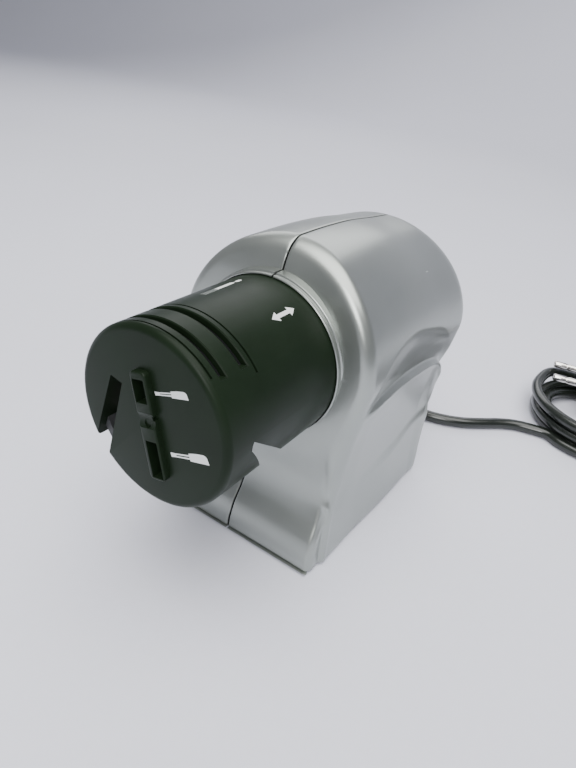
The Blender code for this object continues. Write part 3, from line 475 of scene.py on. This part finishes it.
PANEL = [(-7, -80), (-5.8, -76), (-4.8, -67.4), (-3.6, -58), (-2.8, -51.7), (-7, -44), (-9, -34),
         (-10, -26), (-8, -18), (-3, -13), (2, -11.2), (8, -10.0), (16, -8.3), (24, -7.4),
         (36.5, -7.1), (46, -7.9), (57, -9.4), (68, -11.5), (77, -14.6), (82, -18.5), (87, -24.5),
         (88.5, -31), (85.5, -37), (82.5, -42), (83, -50), (82, -60), (80, -70), (79, -80)]
SCOOP_LOW = profile([(0.006, -0.0106), (0.016, -0.0083), (0.024, -0.0074), (0.0365, -0.0071),
                     (0.046, -0.0079), (0.057, -0.0094), (0.068, -0.0115), (0.080, -0.0160),
                     (0.088, -0.0240)])
SCOOP_HIGH = profile([(0.006, -0.0096), (0.0180, 0.0052), (0.0285, 0.0106), (0.0410, 0.0122),
                      (0.0570, 0.0088), (0.0725, 0.0030), (0.080, -0.0030), (0.088, -0.0100)])

SCOOP_START, SCOOP_END = 0.006, 0.088
SCOOP_STEP = 0.0010  # depth of the grip along the panel's top edge
SCOOP_DISH = 0.0020  # further depth in its middle
SEAM_ROUND = 0.0005
SEAM_SINK = 0.00018
BASE_ROUND = 0.0012
PANEL_STEP, PANEL_STEP_REAR = 0.0008, 0.0007  # relief of the side panel and what its rear adds
PANEL_EDGE, PANEL_FADE = 0.0007, 0.0075  # width of its edge, and how far the skin dips beyond it
PANEL_FLARE = 0.0011  # further relief below the panel's crease
CORNER_STEP, CORNER_EDGE, CORNER_FADE = 0.0005, 0.0010, 0.0060


def scoop(depth, height):
    """Depth of the finger grip above the side panel."""
    if not SCOOP_START < depth < SCOOP_END:
        return 0.0
    low, high = SCOOP_LOW(depth), SCOOP_HIGH(depth)
    t = (height - low) / max(high - low, 0.001)
    along = math.sin(math.pi * (depth - SCOOP_START) / (SCOOP_END - SCOOP_START))
    if t <= 0:
        return SCOOP_STEP * along * float(step(height - low, -SCOOP_STEP, 0.0))
    if t >= 1:
        return 0.0
    slope = SCOOP_STEP * float(1 - step(t, 0.0, 1.0))
    return along * (slope + SCOOP_DISH * math.sin(math.pi * t) ** 1.4)


def seam_drop(x):
    """How far the skin rolls in towards the seam."""
    t = np.clip(1 - (x - SEAM_HALF) / SEAM_ROUND, 0, 1)
    return SEAM_SINK * t * t


def panel_rise(points):
    """Signed relief of the side panel at (depth, height) points in metres."""
    outline = smooth_path([(y / 1000, z / 1000) for y, z in PANEL], 260)
    a, b = outline, np.roll(outline, -1, axis=0)
    edge = b - a
    square = np.maximum((edge**2).sum(1), 1e-12)
    nearest = np.full(len(points), 1e9)
    inside = np.zeros(len(points), bool)
    for k in range(len(a)):
        t = np.clip(((points - a[k]) @ edge[k]) / square[k], 0, 1)
        gap = points - a[k] - t[:, None] * edge[k]
        nearest = np.minimum(nearest, (gap**2).sum(1))
        crosses = (a[k, 1] > points[:, 1]) != (b[k, 1] > points[:, 1])
        if abs(edge[k, 1]) > 1e-12:
            at = a[k, 0] + (points[:, 1] - a[k, 1]) * edge[k, 0] / edge[k, 1]
            inside ^= crosses & (points[:, 0] < at)
    reach = np.sqrt(nearest)
    signed = np.where(inside, reach, -reach)
    rear = step(points[:, 0], 0.070, 0.080) * step(-points[:, 1], 0.010, 0.020)
    amount = PANEL_STEP + PANEL_STEP_REAR * rear
    amount *= 1 - (1 - step(points[:, 0], 0.002, 0.016)) * step(points[:, 1], -0.056, -0.046)
    rise = amount * np.tanh(signed / PANEL_EDGE)
    border = 0.4 * amount * np.exp(-((signed - 0.0014) / 0.0011) ** 2)
    rise = np.where(inside, rise + border, rise * np.exp(-reach / PANEL_FADE))
    crease = np.interp(points[:, 0], [0.030, 0.045, 0.054, 0.063, 0.081],
                       [-0.0475, -0.0465, -0.0450, -0.0420, -0.0400])
    flare = step(crease - points[:, 1], -0.0010, 0.0050) * step(points[:, 0], 0.015, 0.050)
    return rise + np.where(inside, PANEL_FLARE * flare, 0.0)


def corner_rise(x, height):
    """Relief of the fold that carries the panel's front edge up the front face."""
    fold = np.interp(height, [-0.0540, -0.0426, -0.0300, -0.0200], [0.0395, 0.0362, 0.0338, 0.0325])
    away = x - fold
    fade = step(height, -0.0560, -0.0500) * (1 - step(height, -0.0360, -0.0220))
    beyond = np.where(away < 0, np.exp(away / CORNER_FADE), 1.0)
    return CORNER_STEP * fade * np.tanh(away / CORNER_EDGE) * beyond


def arch(fine):
    """Half of the front outline from its top down: (x, height, outward x, outward height)."""
    if fine:
        lips = [0.0, 0.0002, 0.0003, 0.0004, 0.0006, 0.0010, 0.0018]
        angles = [math.degrees(math.acos(x / HOOD_R)) for x in lips]
        angles += list(np.linspace(angles[-1], -4, 120))[1:]
        heights = list(np.linspace(-0.0040, BASE_H + 0.0014, 120))
        heights += [BASE_H + d for d in (0.0010, 0.0007, 0.00045, 0.00025, 0.0001, 0.0)]
    else:
        angles = np.linspace(90, -4, 30)
        heights = np.linspace(-0.0060, BASE_H, 26)
    rows = [(HOOD_R * math.cos(a), HOOD_R * math.sin(a), math.cos(a), math.sin(a))
            for a in np.radians(angles)]
    line = smooth_path([rows[-1][:2]] + SIDE, 500)
    turn = -np.gradient(line[:, 0]) / np.gradient(line[:, 1])
    for h in heights:
        x = float(np.interp(-h, -line[:, 1], line[:, 0]))
        slope = float(np.interp(-h, -line[:, 1], turn))
        length = math.hypot(1, slope)
        rows.append((x, h, 1 / length, slope / length))
    return rows


def skin_row(x, h, nx, nh, inset, middle, front_steps, rear_steps, seam_x):
    """One front-to-rear line of the skin, from the seam round the side and back to the seam."""
    front_r = max(FRONT_ROUND(h) - inset, 0.0008)
    rear_r = max(REAR_ROUND(h) - inset, 0.0015)

    def spot(inward, depth):
        drop = inward + RIDGE_DROP(depth) * max(nh, 0.0)
        return [x - nx * drop, depth, h - nh * drop]

    points = []
    for angle in np.linspace(0, math.pi / 2, front_steps, endpoint=False):
        inward = inset + front_r * (1 - math.sin(angle))
        depth = FRONT(h - nh * inward) + inset + front_r * (1 - math.cos(angle))
        points.append(spot(inward, depth))
    for depth in np.linspace(FRONT(h) + inset + front_r, REAR(h) - inset - rear_r, middle):
        points.append(spot(inset, depth))
    for angle in np.linspace(0, math.pi / 2, rear_steps)[1:]:
        inward = inset + rear_r * (1 - math.cos(angle))
        depth = REAR(h - nh * inward) - inset - rear_r * (1 - math.sin(angle))
        points.append(spot(inward, depth))
    if inset:
        for p in points:
            if nx > 0.5:
                p[0] -= 1.15 * scoop(p[1], p[2]) + 0.0004 * step(p[2], -0.068, -0.064)
    cap = [0.0012, 0.0013, 0.0014, 0.0016, 0.0020, 0.0028] if not inset else []
    spaced = list(np.linspace(0.0, 1.0, 12 if not inset else 4))

    def cap_points(end):
        width = max(end[0] - seam_x, 0.0)
        reach = [0.0] + [min(c, width * (i + 1) / 20) for i, c in enumerate(cap)]
        rest = [reach[-1] + (width - reach[-1]) * t for t in spaced[1:-1]]
        return [[seam_x + d, end[1], end[2]] for d in reach + rest]

    return cap_points(points[0]) + points + cap_points(points[-1])[::-1]


def half_body(name, side, inset, seam_x, below=0.0):
    """A closed half of the housing, moved in by inset, with its flat side at seam_x."""
    fine = not inset
    shape = (inset, 160, 12, 24, seam_x) if fine else (inset, 26, 5, 8, seam_x)
    lines = [skin_row(*p, *shape) for p in arch(fine)]
    lines[0] = [[seam_x, y, z] for _, y, z in lines[0]]
    lines[-1] = [[x, y, BASE_H] for x, y, _ in lines[-1]]
    if below:
        lines.append([[x, y, z - below] for x, y, z in lines[-1]])
    bm = bmesh.new()
    grid = [[bm.verts.new((side * x, y, z)) for x, y, z in line] for line in lines]
    for upper, lower in zip(grid, grid[1:]):
        for i in range(len(upper) - 1):
            bm.faces.new((upper[i], upper[i + 1], lower[i + 1], lower[i]))
    bm.faces.new(grid[-1])
    bm.faces.new(grid[0] + [grid[1][-1], grid[1][0]])
    for upper, lower in zip(grid[1:], grid[2:]):
        bm.faces.new((upper[0], lower[0], lower[-1], upper[-1]))
    bmesh.ops.remove_doubles(bm, verts=bm.verts[:], dist=1e-7)
    face_out(bm)
    if fine:
        bm.normal_update()
        skin = bm.verts[:]
        place = np.array([v.co for v in skin])
        facing = np.array([v.normal for v in skin])
        outside = step(np.abs(facing[:, 0]), 0.30, 0.65)
        ahead = step(-facing[:, 1], 0.5, 0.9)
        scooped = np.array([scoop(y, z) for _, y, z in place])
        move = outside * (panel_rise(place[:, 1:]) - scooped)
        move += ahead * corner_rise(np.abs(place[:, 0]), place[:, 2])
        move -= np.where(place[:, 0] * side < 0.0016, seam_drop(place[:, 0] * side), 0.0)
        lift = np.clip(BASE_ROUND - (place[:, 2] - BASE_H), 0, BASE_ROUND)
        move -= BASE_ROUND - np.sqrt(BASE_ROUND**2 - lift**2)
        facing[:, 2] *= np.where(lift > 0, 0.0, 1.0)
        for v, shift, way in zip(skin, move, facing):
            if abs(v.normal.x * side + 1) > 0.01 or v.co.x * side > seam_x + 1e-5:
                v.co += Vector(way) * shift
    bmesh.ops.triangulate(bm, faces=[f for f in bm.faces if len(f.verts) > 4])
    return solid(name, bm, SILVER)


SHELL_SCREWS = (("front", 0.0060, -0.0520, 0.0378), ("rear", 0.0700, -0.0480, 0.0378),
                ("top", 0.0640, 0.0230, 0.0320))


def housing(name, side):
    shell = half_body(name, side, 0.0, -0.0010)
    combine(shell, [half_body("hollow", side, WALL, -0.0030, below=0.004)], "DIFFERENCE", SILVER)
    collar = turned("collar", [
        (0.0300, 0.0013), (0.0304, 0.0009), (COLLAR_R - 0.0010, 0.0009), (COLLAR_R - 0.0007, 0.0011),
        (COLLAR_R - 0.0006, 0.0014), (COLLAR_R - 0.0006, 0.0027), (COLLAR_R - 0.0002, 0.0028),
        (COLLAR_R, 0.0030), (COLLAR_R, SLEEVE_END), (0.0300, SLEEVE_END),
    ], SILVER, steps=180)
    joins = [collar]
    bore = turned("bore", [(0, -0.0200), (BORE_R, -0.0200), (BORE_R, SLEEVE_END + 0.001),
                           (0, SLEEVE_END + 0.001)], SILVER, steps=180)
    gland = turned("gland", [(0, 0.0700), (0.0043, 0.0700), (0.0043, 0.1000), (0, 0.1000)], SILVER,
                   TO_AXIS @ Matrix.Translation((0, 0, EXIT_H)), 40)
    window = block("window", (-0.0096, -0.0200, -0.0066), (0.0096, 0.0200, 0.0066), SILVER, TO_SWITCH)
    x0, x1 = sorted((side * -0.0700, side * SEAM_HALF))
    beyond = block("beyond", (x0, -0.0500, -0.1000), (x1, 0.1500, 0.0700), SILVER)
    cuts = [bore, gland, window, beyond]
    for _, y, z, reach in SHELL_SCREWS:
        across = TO_AXIS @ Matrix.Translation((0, y, z)) @ Matrix.Rotation(-side * math.pi / 2, 4, "Z")
        joins.append(turned("boss", [(0, -0.0010), (0.0045, -0.0010), (0.0045, reach), (0, reach)],
                            SILVER, across, 28))
        line = [(0, -0.0020), (0.0017, -0.0020), (0.0017, 0.0150), (0, 0.0150)]
        if side < 0:
            line = [(0, -0.0020), (0.0017, -0.0020), (0.0017, 0.0120), (0.0033, 0.0120),
                    (0.0033, 0.0500), (0, 0.0500)]
        cuts.append(turned("hole", line, SILVER, across, 40))
    combine(shell, joins, "UNION", SILVER)
    combine(shell, cuts, "DIFFERENCE", SILVER)
    return shell


for side, tag in ((1, "right"), (-1, "left")):
    shell = housing(f"shell_{tag}", side)
    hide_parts(f"housing_{tag}")
    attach(shell, "housing")


def seam_shade_tongue():
    """A tongue just under the skin all the way round the joint between the shells, dark with painted shade
    of the seam.
    """
    top = skin_row(0.0, HOOD_R, 0.0, 1.0, 0.0, 60, 8, 12, 0.0)
    line = [(y, z) for _, y, z in top]
    line = [(y, z) for i, (y, z) in enumerate(line) if i == 0 or math.dist((y, z), line[i - 1]) > 2e-4]
    front = [(FRONT(z), z) for z in np.linspace(BASE_H + 0.0004, -0.0325, 30)]
    crown = [(FRONT(z), z) for z in np.linspace(0.0345, line[0][1] - 0.0005, 8)]
    back = [(REAR(z), z) for z in np.linspace(line[-1][1] - 0.0005, BASE_H + 0.0004, 60)]
    half, top_depth, low_depth = 0.0012, 0.0007, 0.0013
    section = ((-half, top_depth), (half, top_depth), (half, low_depth), (-half, low_depth))
    for tag, points in (("front", front), ("rear", crown + line + back)):
        points = np.array(points)
        along = np.gradient(points, axis=0)
        along /= np.linalg.norm(along, axis=1)[:, None]
        inward = np.stack([along[:, 1], -along[:, 0]], axis=1)
        bm = bmesh.new()
        rings = []
        for (y, z), (ny, nz) in zip(points, inward):
            rings.append([bm.verts.new((x, y + ny * deep, z + nz * deep)) for x, deep in section])
        bridge(bm, rings)
        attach(solid(f"seam_shade_tongue_{tag}", bm, SHADE), "housing")


seam_shade_tongue()

# ---------------------------------------------------------------- head
KNIFE_SLOTS = ((-0.0505, 0.0025), (-0.0414, 0.0028))
SLOT_FLOOR = 0.0155
SCISSOR_SLOT = [(-0.0139, 0.0130), (-0.0322, -0.0172), (-0.0272, -0.0229), (-0.0093, 0.0109)]
SIDE_SLOT = [(-0.0455, -0.0062), (-0.0379, -0.0114), (-0.0095, -0.0315), (-0.0095, -0.0350),
             (-0.0210, -0.0350), (-0.0381, -0.0188), (-0.0445, -0.0112), (-0.0466, -0.0087)]
GUIDE_WALL = [(-0.0148, 0.0125), (-0.0285, -0.0101), (-0.0269, -0.0112), (-0.0133, 0.0125)]
RIB = (-0.0024, 0.0043, -0.0198, 0.0171)
RIB_HEIGHT = 0.0022
DRIVER_HOLES = (((-0.0016, 0.0069), (0.0032, 0.0146)), ((-0.0010, -0.0189), (0.0037, -0.0059)))
WITNESS_LINES = ((-0.0378, 24, 156), (-0.0546, 33, 147))  # place along the axis, start and end angle
SKIRT = 0.0120


def sector(name, outline, start, end):
    return solid(name, revolve(outline, start, end, steps=60), BLACK, TO_HEAD)


def make_head():
    rim = arc(HEAD_R - 0.0025, FACE_Y + 0.0025, 0.0025, -90, 0, 12)
    line = [(0, FACE_Y)] + rim + [
        (HEAD_R, SKIRT - 0.0003), (HEAD_R - 0.0003, SKIRT), (HEAD_INNER, SKIRT),
        (HEAD_INNER, FACE_IN), (0, FACE_IN)]
    shell = turned("head_body", line, BLACK, TO_HEAD, 200)
    rib = prism("rib", rounded_rectangle(*RIB, 0.0018), FACE_Y - RIB_HEIGHT, RIB_HEIGHT + 0.0008,
                BLACK, TO_HEAD, rounding=0.0006)
    guide = prism("guide", GUIDE_WALL, FACE_IN - 0.0004, 0.0045, BLACK, TO_HEAD)
    combine(shell, [rib, guide], "UNION", BLACK)
    cuts = [block("nick", (0.0034, FACE_Y - 0.0060, 0.0012), (0.0060, FACE_Y - 0.0002, 0.0028), BLACK,
                  TO_HEAD)]
    for middle, width in KNIFE_SLOTS:
        half = width / 2
        cuts.append(block("slot", (-0.0400, middle - half, SLOT_FLOOR), (0.0400, middle + half, 0.04),
                          BLACK, TO_HEAD))
        cuts.append(sector("slot_lip", [
            (HEAD_R - 0.0004, middle - half), (HEAD_R + 0.0004, middle - half - 0.0006),
            (HEAD_R + 0.0004, middle + half + 0.0006), (HEAD_R - 0.0004, middle + half)], 29.5, 150.5))
    for y, low, high in WITNESS_LINES:
        cuts.append(sector("witness", [(HEAD_R - 0.0012, y - 0.0003), (HEAD_R + 0.0010, y - 0.0004),
                                       (HEAD_R + 0.0010, y + 0.0004), (HEAD_R - 0.0012, y + 0.0003)],
                           low, high))
    cuts.append(prism("scissor", SCISSOR_SLOT, -0.0620, 0.0190, BLACK, TO_HEAD))
    cuts.append(prism("side_slot", SIDE_SLOT, -0.0040, 0.0390, BLACK, TO_HEAD, "X"))
    for low, high in DRIVER_HOLES:
        cuts.append(block("driver", (low[0], -0.0650, low[1]), (high[0], -0.0500, high[1]),
                          BLACK, TO_HEAD))
    dish = revolve([(0, -0.0100), (0.0046, -0.0100), (0.0046, 0.0100), (0, 0.0100)], steps=64)
    lay = Matrix.Translation((0.0011, FACE_Y - 0.0060, 0.0012)) @ Matrix.Rotation(math.pi / 2, 4, "Z")
    cuts.append(solid("saddle", dish, BLACK, TO_HEAD @ lay))
    dimple = revolve([(0, -0.0010), (0.0015, -0.0010), (0.0015, 0.0010), (0, 0.0010)], steps=32)
    lay = Matrix.Translation((0.0012, FACE_Y - RIB_HEIGHT, 0.0002))
    cuts.append(solid("dimple", dimple, BLACK, TO_HEAD @ lay))
    for angle in (90, 210, 330):
        cuts.append(block("key", (-0.0018, -0.0036, 0.0280), (0.0018, 0.0140, 0.0300), BLACK,
                          TO_HEAD, Matrix.Rotation(math.radians(angle - 90), 4, "Y")))
    combine(shell, cuts, "DIFFERENCE", BLACK)
    return shell


head_body = make_head()
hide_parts("head_shell")
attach(head_body, "head")


# ---------------------------------------------------------------- printed marks
def mark(name, shapes, lay, finish, thickness=0.00012):
    """Thin printed shapes: (u, v) outlines in millimetres, laid on the surface by lay(u, v, lift)."""
    bm = bmesh.new()
    for shape in shapes:
        flat = bmesh.new()
        flat.faces.new([flat.verts.new((u, v, 0)) for u, v in shape])
        flat.normal_update()
        bmesh.ops.triangulate(flat, faces=flat.faces[:])
        bmesh.ops.subdivide_edges(flat, edges=flat.edges[:], cuts=3, use_grid_fill=True)
        low = {}
        high = {}
        for v in flat.verts:
            low[v] = bm.verts.new(lay(v.co.x / 1000, v.co.y / 1000, -thickness))
            high[v] = bm.verts.new(lay(v.co.x / 1000, v.co.y / 1000, 0.00003))
        for f in flat.faces:
            bm.faces.new([high[v] for v in f.verts])
            bm.faces.new([low[v] for v in reversed(f.verts)])
        for e in flat.edges:
            if len(e.link_faces) == 1:
                a, b = e.verts
                bm.faces.new((high[a], high[b], low[b], low[a]))
        flat.free()
    made = solid(name, bm, finish, TO_HEAD)
    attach(made, "head")
    return made


def on_skin(angle):
    """Lays a mark round the cylinder at an own angle: u towards the right, v along the axis."""
    def lay(u, v, lift):
        a = math.radians(angle) - u / HEAD_R
        r = HEAD_R + lift
        return (r * math.cos(a), v, r * math.sin(a))
    return lay


def on_face(u, v, lift):
    return (u, FACE_Y - lift, v)


arrow = [(0.0, -19.2), (1.9, -16.0), (0.75, -16.0), (0.75, -10.0), (1.9, -10.0), (0.0, -6.8),
         (-1.9, -10.0), (-0.75, -10.0), (-0.75, -16.0), (-1.9, -16.0)]
mark("arrow_mark", [arrow], on_skin(46.7), PRINT)
ticks = [[(-1.3, y), (1.3, y), (1.3, y + 0.45), (-1.3, y + 0.45)] for y in np.arange(-26.0, -20.2, 0.95)]
mark("knife_mark_edge", ticks, on_skin(90.4), PRINT_GREY)
blade = [(-0.9, -19.6), (0.9, -19.6), (0.9, -11.6), (0.2, -10.2), (-0.9, -11.4)]
handle = [(-0.3, -9.8), (0.5, -9.9), (1.1, -9.2), (1.1, -7.6), (0.5, -6.9), (-0.5, -7.2), (-0.7, -8.6)]
mark("knife_mark", [blade, handle], on_skin(90.4), PRINT)


def driver_mark(name, start, end, scale):
    """A small screwdriver seen from the side, its tip at start and its handle at end, in millimetres."""
    (x0, z0), (x1, z1) = start, end
    length = math.hypot(x1 - x0, z1 - z0)
    ex, ez = (x1 - x0) / length, (z1 - z0) / length

    def at(u, v):
        return (x0 + ex * u * length - ez * v * scale, z0 + ez * u * length + ex * v * scale)

    tip = [at(0.0, -0.60), at(0.15, -0.52), at(0.15, 0.52), at(0.0, 0.60)]
    shaft = [[at(0.15, s * 0.16), at(0.51, s * 0.18), at(0.51, s * 0.58), at(0.15, s * 0.52)]
             for s in (-1, 1)]
    grip = [at(0.51, -0.98), at(0.55, -1.05), at(0.90, -1.25), at(1.0, -1.32), at(0.985, 0.45),
            at(0.95, 0.95), at(0.90, 1.18), at(0.72, 1.22), at(0.55, 1.08), at(0.51, 0.98)]
    mark(name, [tip, grip], on_face, PRINT)
    mark(f"{name}_shaft", shaft, on_face, PRINT)


driver_mark("driver_mark_small", (5.0, 10.0), (18.4, 11.5), 1.0)
driver_mark("driver_mark_large", (6.9, -10.0), (22.3, -8.2), 1.25)

# ---------------------------------------------------------------- switch, feet and screws
bezel = prism("switch_bezel", rounded_rectangle(-0.0106, 0.0106, -0.0076, 0.0076, 0.0016),
              0.0024, -0.0018, DARK, TO_SWITCH, rounding=0.0006)
inside = block("switch_inside", (-0.0093, -0.0150, -0.0063), (0.0093, 0.0010, 0.0063), DARK, TO_SWITCH)
combine(bezel, [inside], "UNION", DARK)
combine(bezel, [block("well", (-0.0078, -0.0065, -0.0053), (0.0078, 0.0060, 0.0053), DARK, TO_SWITCH)],
        "DIFFERENCE", DARK)
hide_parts("switch_body")
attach(bezel, "housing")

face = [(0.0050 - 0.0016 * (1 - (t / 0.0043) ** 2), t) for t in np.linspace(0.0043, -0.0043, 15)]
rocker_line = face + [(0.0010, -0.0043), (-0.0030, -0.0022), (-0.0030, 0.0022), (0.0010, 0.0043)]
rocker = prism("rocker_key", rocker_line, -0.0074, 0.0148, BLACK, TO_ROCKER, "X", rounding=0.0004)
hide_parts("rocker")
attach(rocker, "rocker")

for side_tag, x in (("left", -0.0310), ("right", 0.0310)):
    for end_tag, y in (("front", -0.0035), ("rear", 0.0710)):
        line = [(0, 0), (0.0040, 0), (0.0046, 0.0001), (0.0050, 0.0005), (0.0050, 0.0019), (0, 0.0019)]
        up = Matrix.Translation((x, y + COLLAR_Y, 0)) @ UPRIGHT
        foot = turned(f"foot_pad_{end_tag}_{side_tag}", line, RUBBER, up, 48)
        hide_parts(f"foot_{end_tag}_{side_tag}")
        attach(foot, "housing")


def screw(name, node, place, direction, head_r, head_l, shank_r, length):
    """A pan-head screw with a cross recess, in place of a CAD one."""
    turn = Vector((0, 1, 0)).rotation_difference(Vector(direction)).to_matrix().to_4x4()
    spot = TO_AXIS @ Matrix.Translation(place) @ turn
    line = [(0, 0), (head_r * 0.62, 0), (head_r * 0.86, head_l * 0.12), (head_r, head_l * 0.42),
            (head_r, head_l), (shank_r, head_l), (shank_r, length), (0, length)]
    made = turned(name, line, STEEL, spot, 40)
    wide, thin, deep = head_r * 0.52, head_r * 0.13, head_l * 0.6
    cross = [block("cross", (-wide, -0.001, -thin), (wide, deep, thin), STEEL, spot),
             block("cross", (-thin, -0.001, -wide), (thin, deep, wide), STEEL, spot)]
    combine(made, cross, "DIFFERENCE", STEEL)
    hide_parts(node)
    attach(made, "housing")


for label, y, z, _ in SHELL_SCREWS:
    screw(f"shell_screw_{label}_fine", f"shell_screw_{label}", (-0.0142, y, z), (1, 0, 0),
          0.0029, 0.0020, 0.0014, 0.0260)
for side, side_tag in ((-1, "left"), (1, "right")):
    for y, end_tag in ((0.0090, "front"), (0.0590, "rear")):
        tag = f"base_screw_{side_tag}_{end_tag}"
        screw(f"{tag}_fine", tag, (side * 0.0310, y, BASE_H - 0.0004), (0, 0, 1),
              0.0029, 0.0013, 0.0012, 0.0120)


# ---------------------------------------------------------------- floor, backdrop and light
def make_stage():
    bm = bmesh.new()
    rows = [(y, 0.0) for y in np.linspace(-1.6, 1.1, 14)]
    rows += [(1.1 + 0.7 * math.sin(a), 0.7 * (1 - math.cos(a))) for a in np.linspace(0.1, math.pi / 2, 14)]
    rows += [(1.8, z) for z in np.linspace(0.9, 2.6, 8)]
    grid = [[bm.verts.new((x, y, z)) for x in np.linspace(-2.6, 2.6, 14)] for y, z in rows]
    for a, b in zip(grid, grid[1:]):
        for i in range(len(a) - 1):
            bm.faces.new((a[i], a[i + 1], b[i + 1], b[i]))
    paper = surface("backdrop", (0.735, 0.74, 0.825), 0.62, vary=0.02, rough_vary=0.05, mottle=3,
                    grain=260, bump=0.03, specular=0.35)
    made = solid("backdrop", bm, paper, Matrix.Identity(4), 60)
    if made.data.polygons[0].normal.z < 0:
        made.data.flip_normals()


def area_light(name, place, target, size, power, colour=(1, 1, 1)):
    data = bpy.data.lights.new(name, "AREA")
    data.shape = "RECTANGLE"
    data.size, data.size_y = size
    data.energy = power
    data.color = colour
    made = bpy.data.objects.new(name, data)
    made.location = place
    made.rotation_euler = (Vector(target) - Vector(place)).to_track_quat("-Z", "Y").to_euler()
    bpy.context.scene.collection.objects.link(made)


make_stage()
world = bpy.data.worlds.new("studio")
world.use_nodes = True
world.node_tree.nodes["Background"].inputs["Color"].default_value = (0.86, 0.88, 0.95, 1)
world.node_tree.nodes["Background"].inputs["Strength"].default_value = 0.32
bpy.context.scene.world = world
area_light("overhead", (0.15, -0.15, 1.25), (0, 0, 0.05), (1.3, 1.3), 27, (1.0, 1.0, 0.98))
area_light("rear", (-0.75, 1.10, 0.98), (0, 0, 0.08), (1.5, 0.7), 9, (1.0, 1.0, 1.0))
area_light("window", (0.45, -0.95, 0.85), (0.02, 0.0, 0.08), (0.4, 0.6), 9, (1.0, 1.0, 1.0))
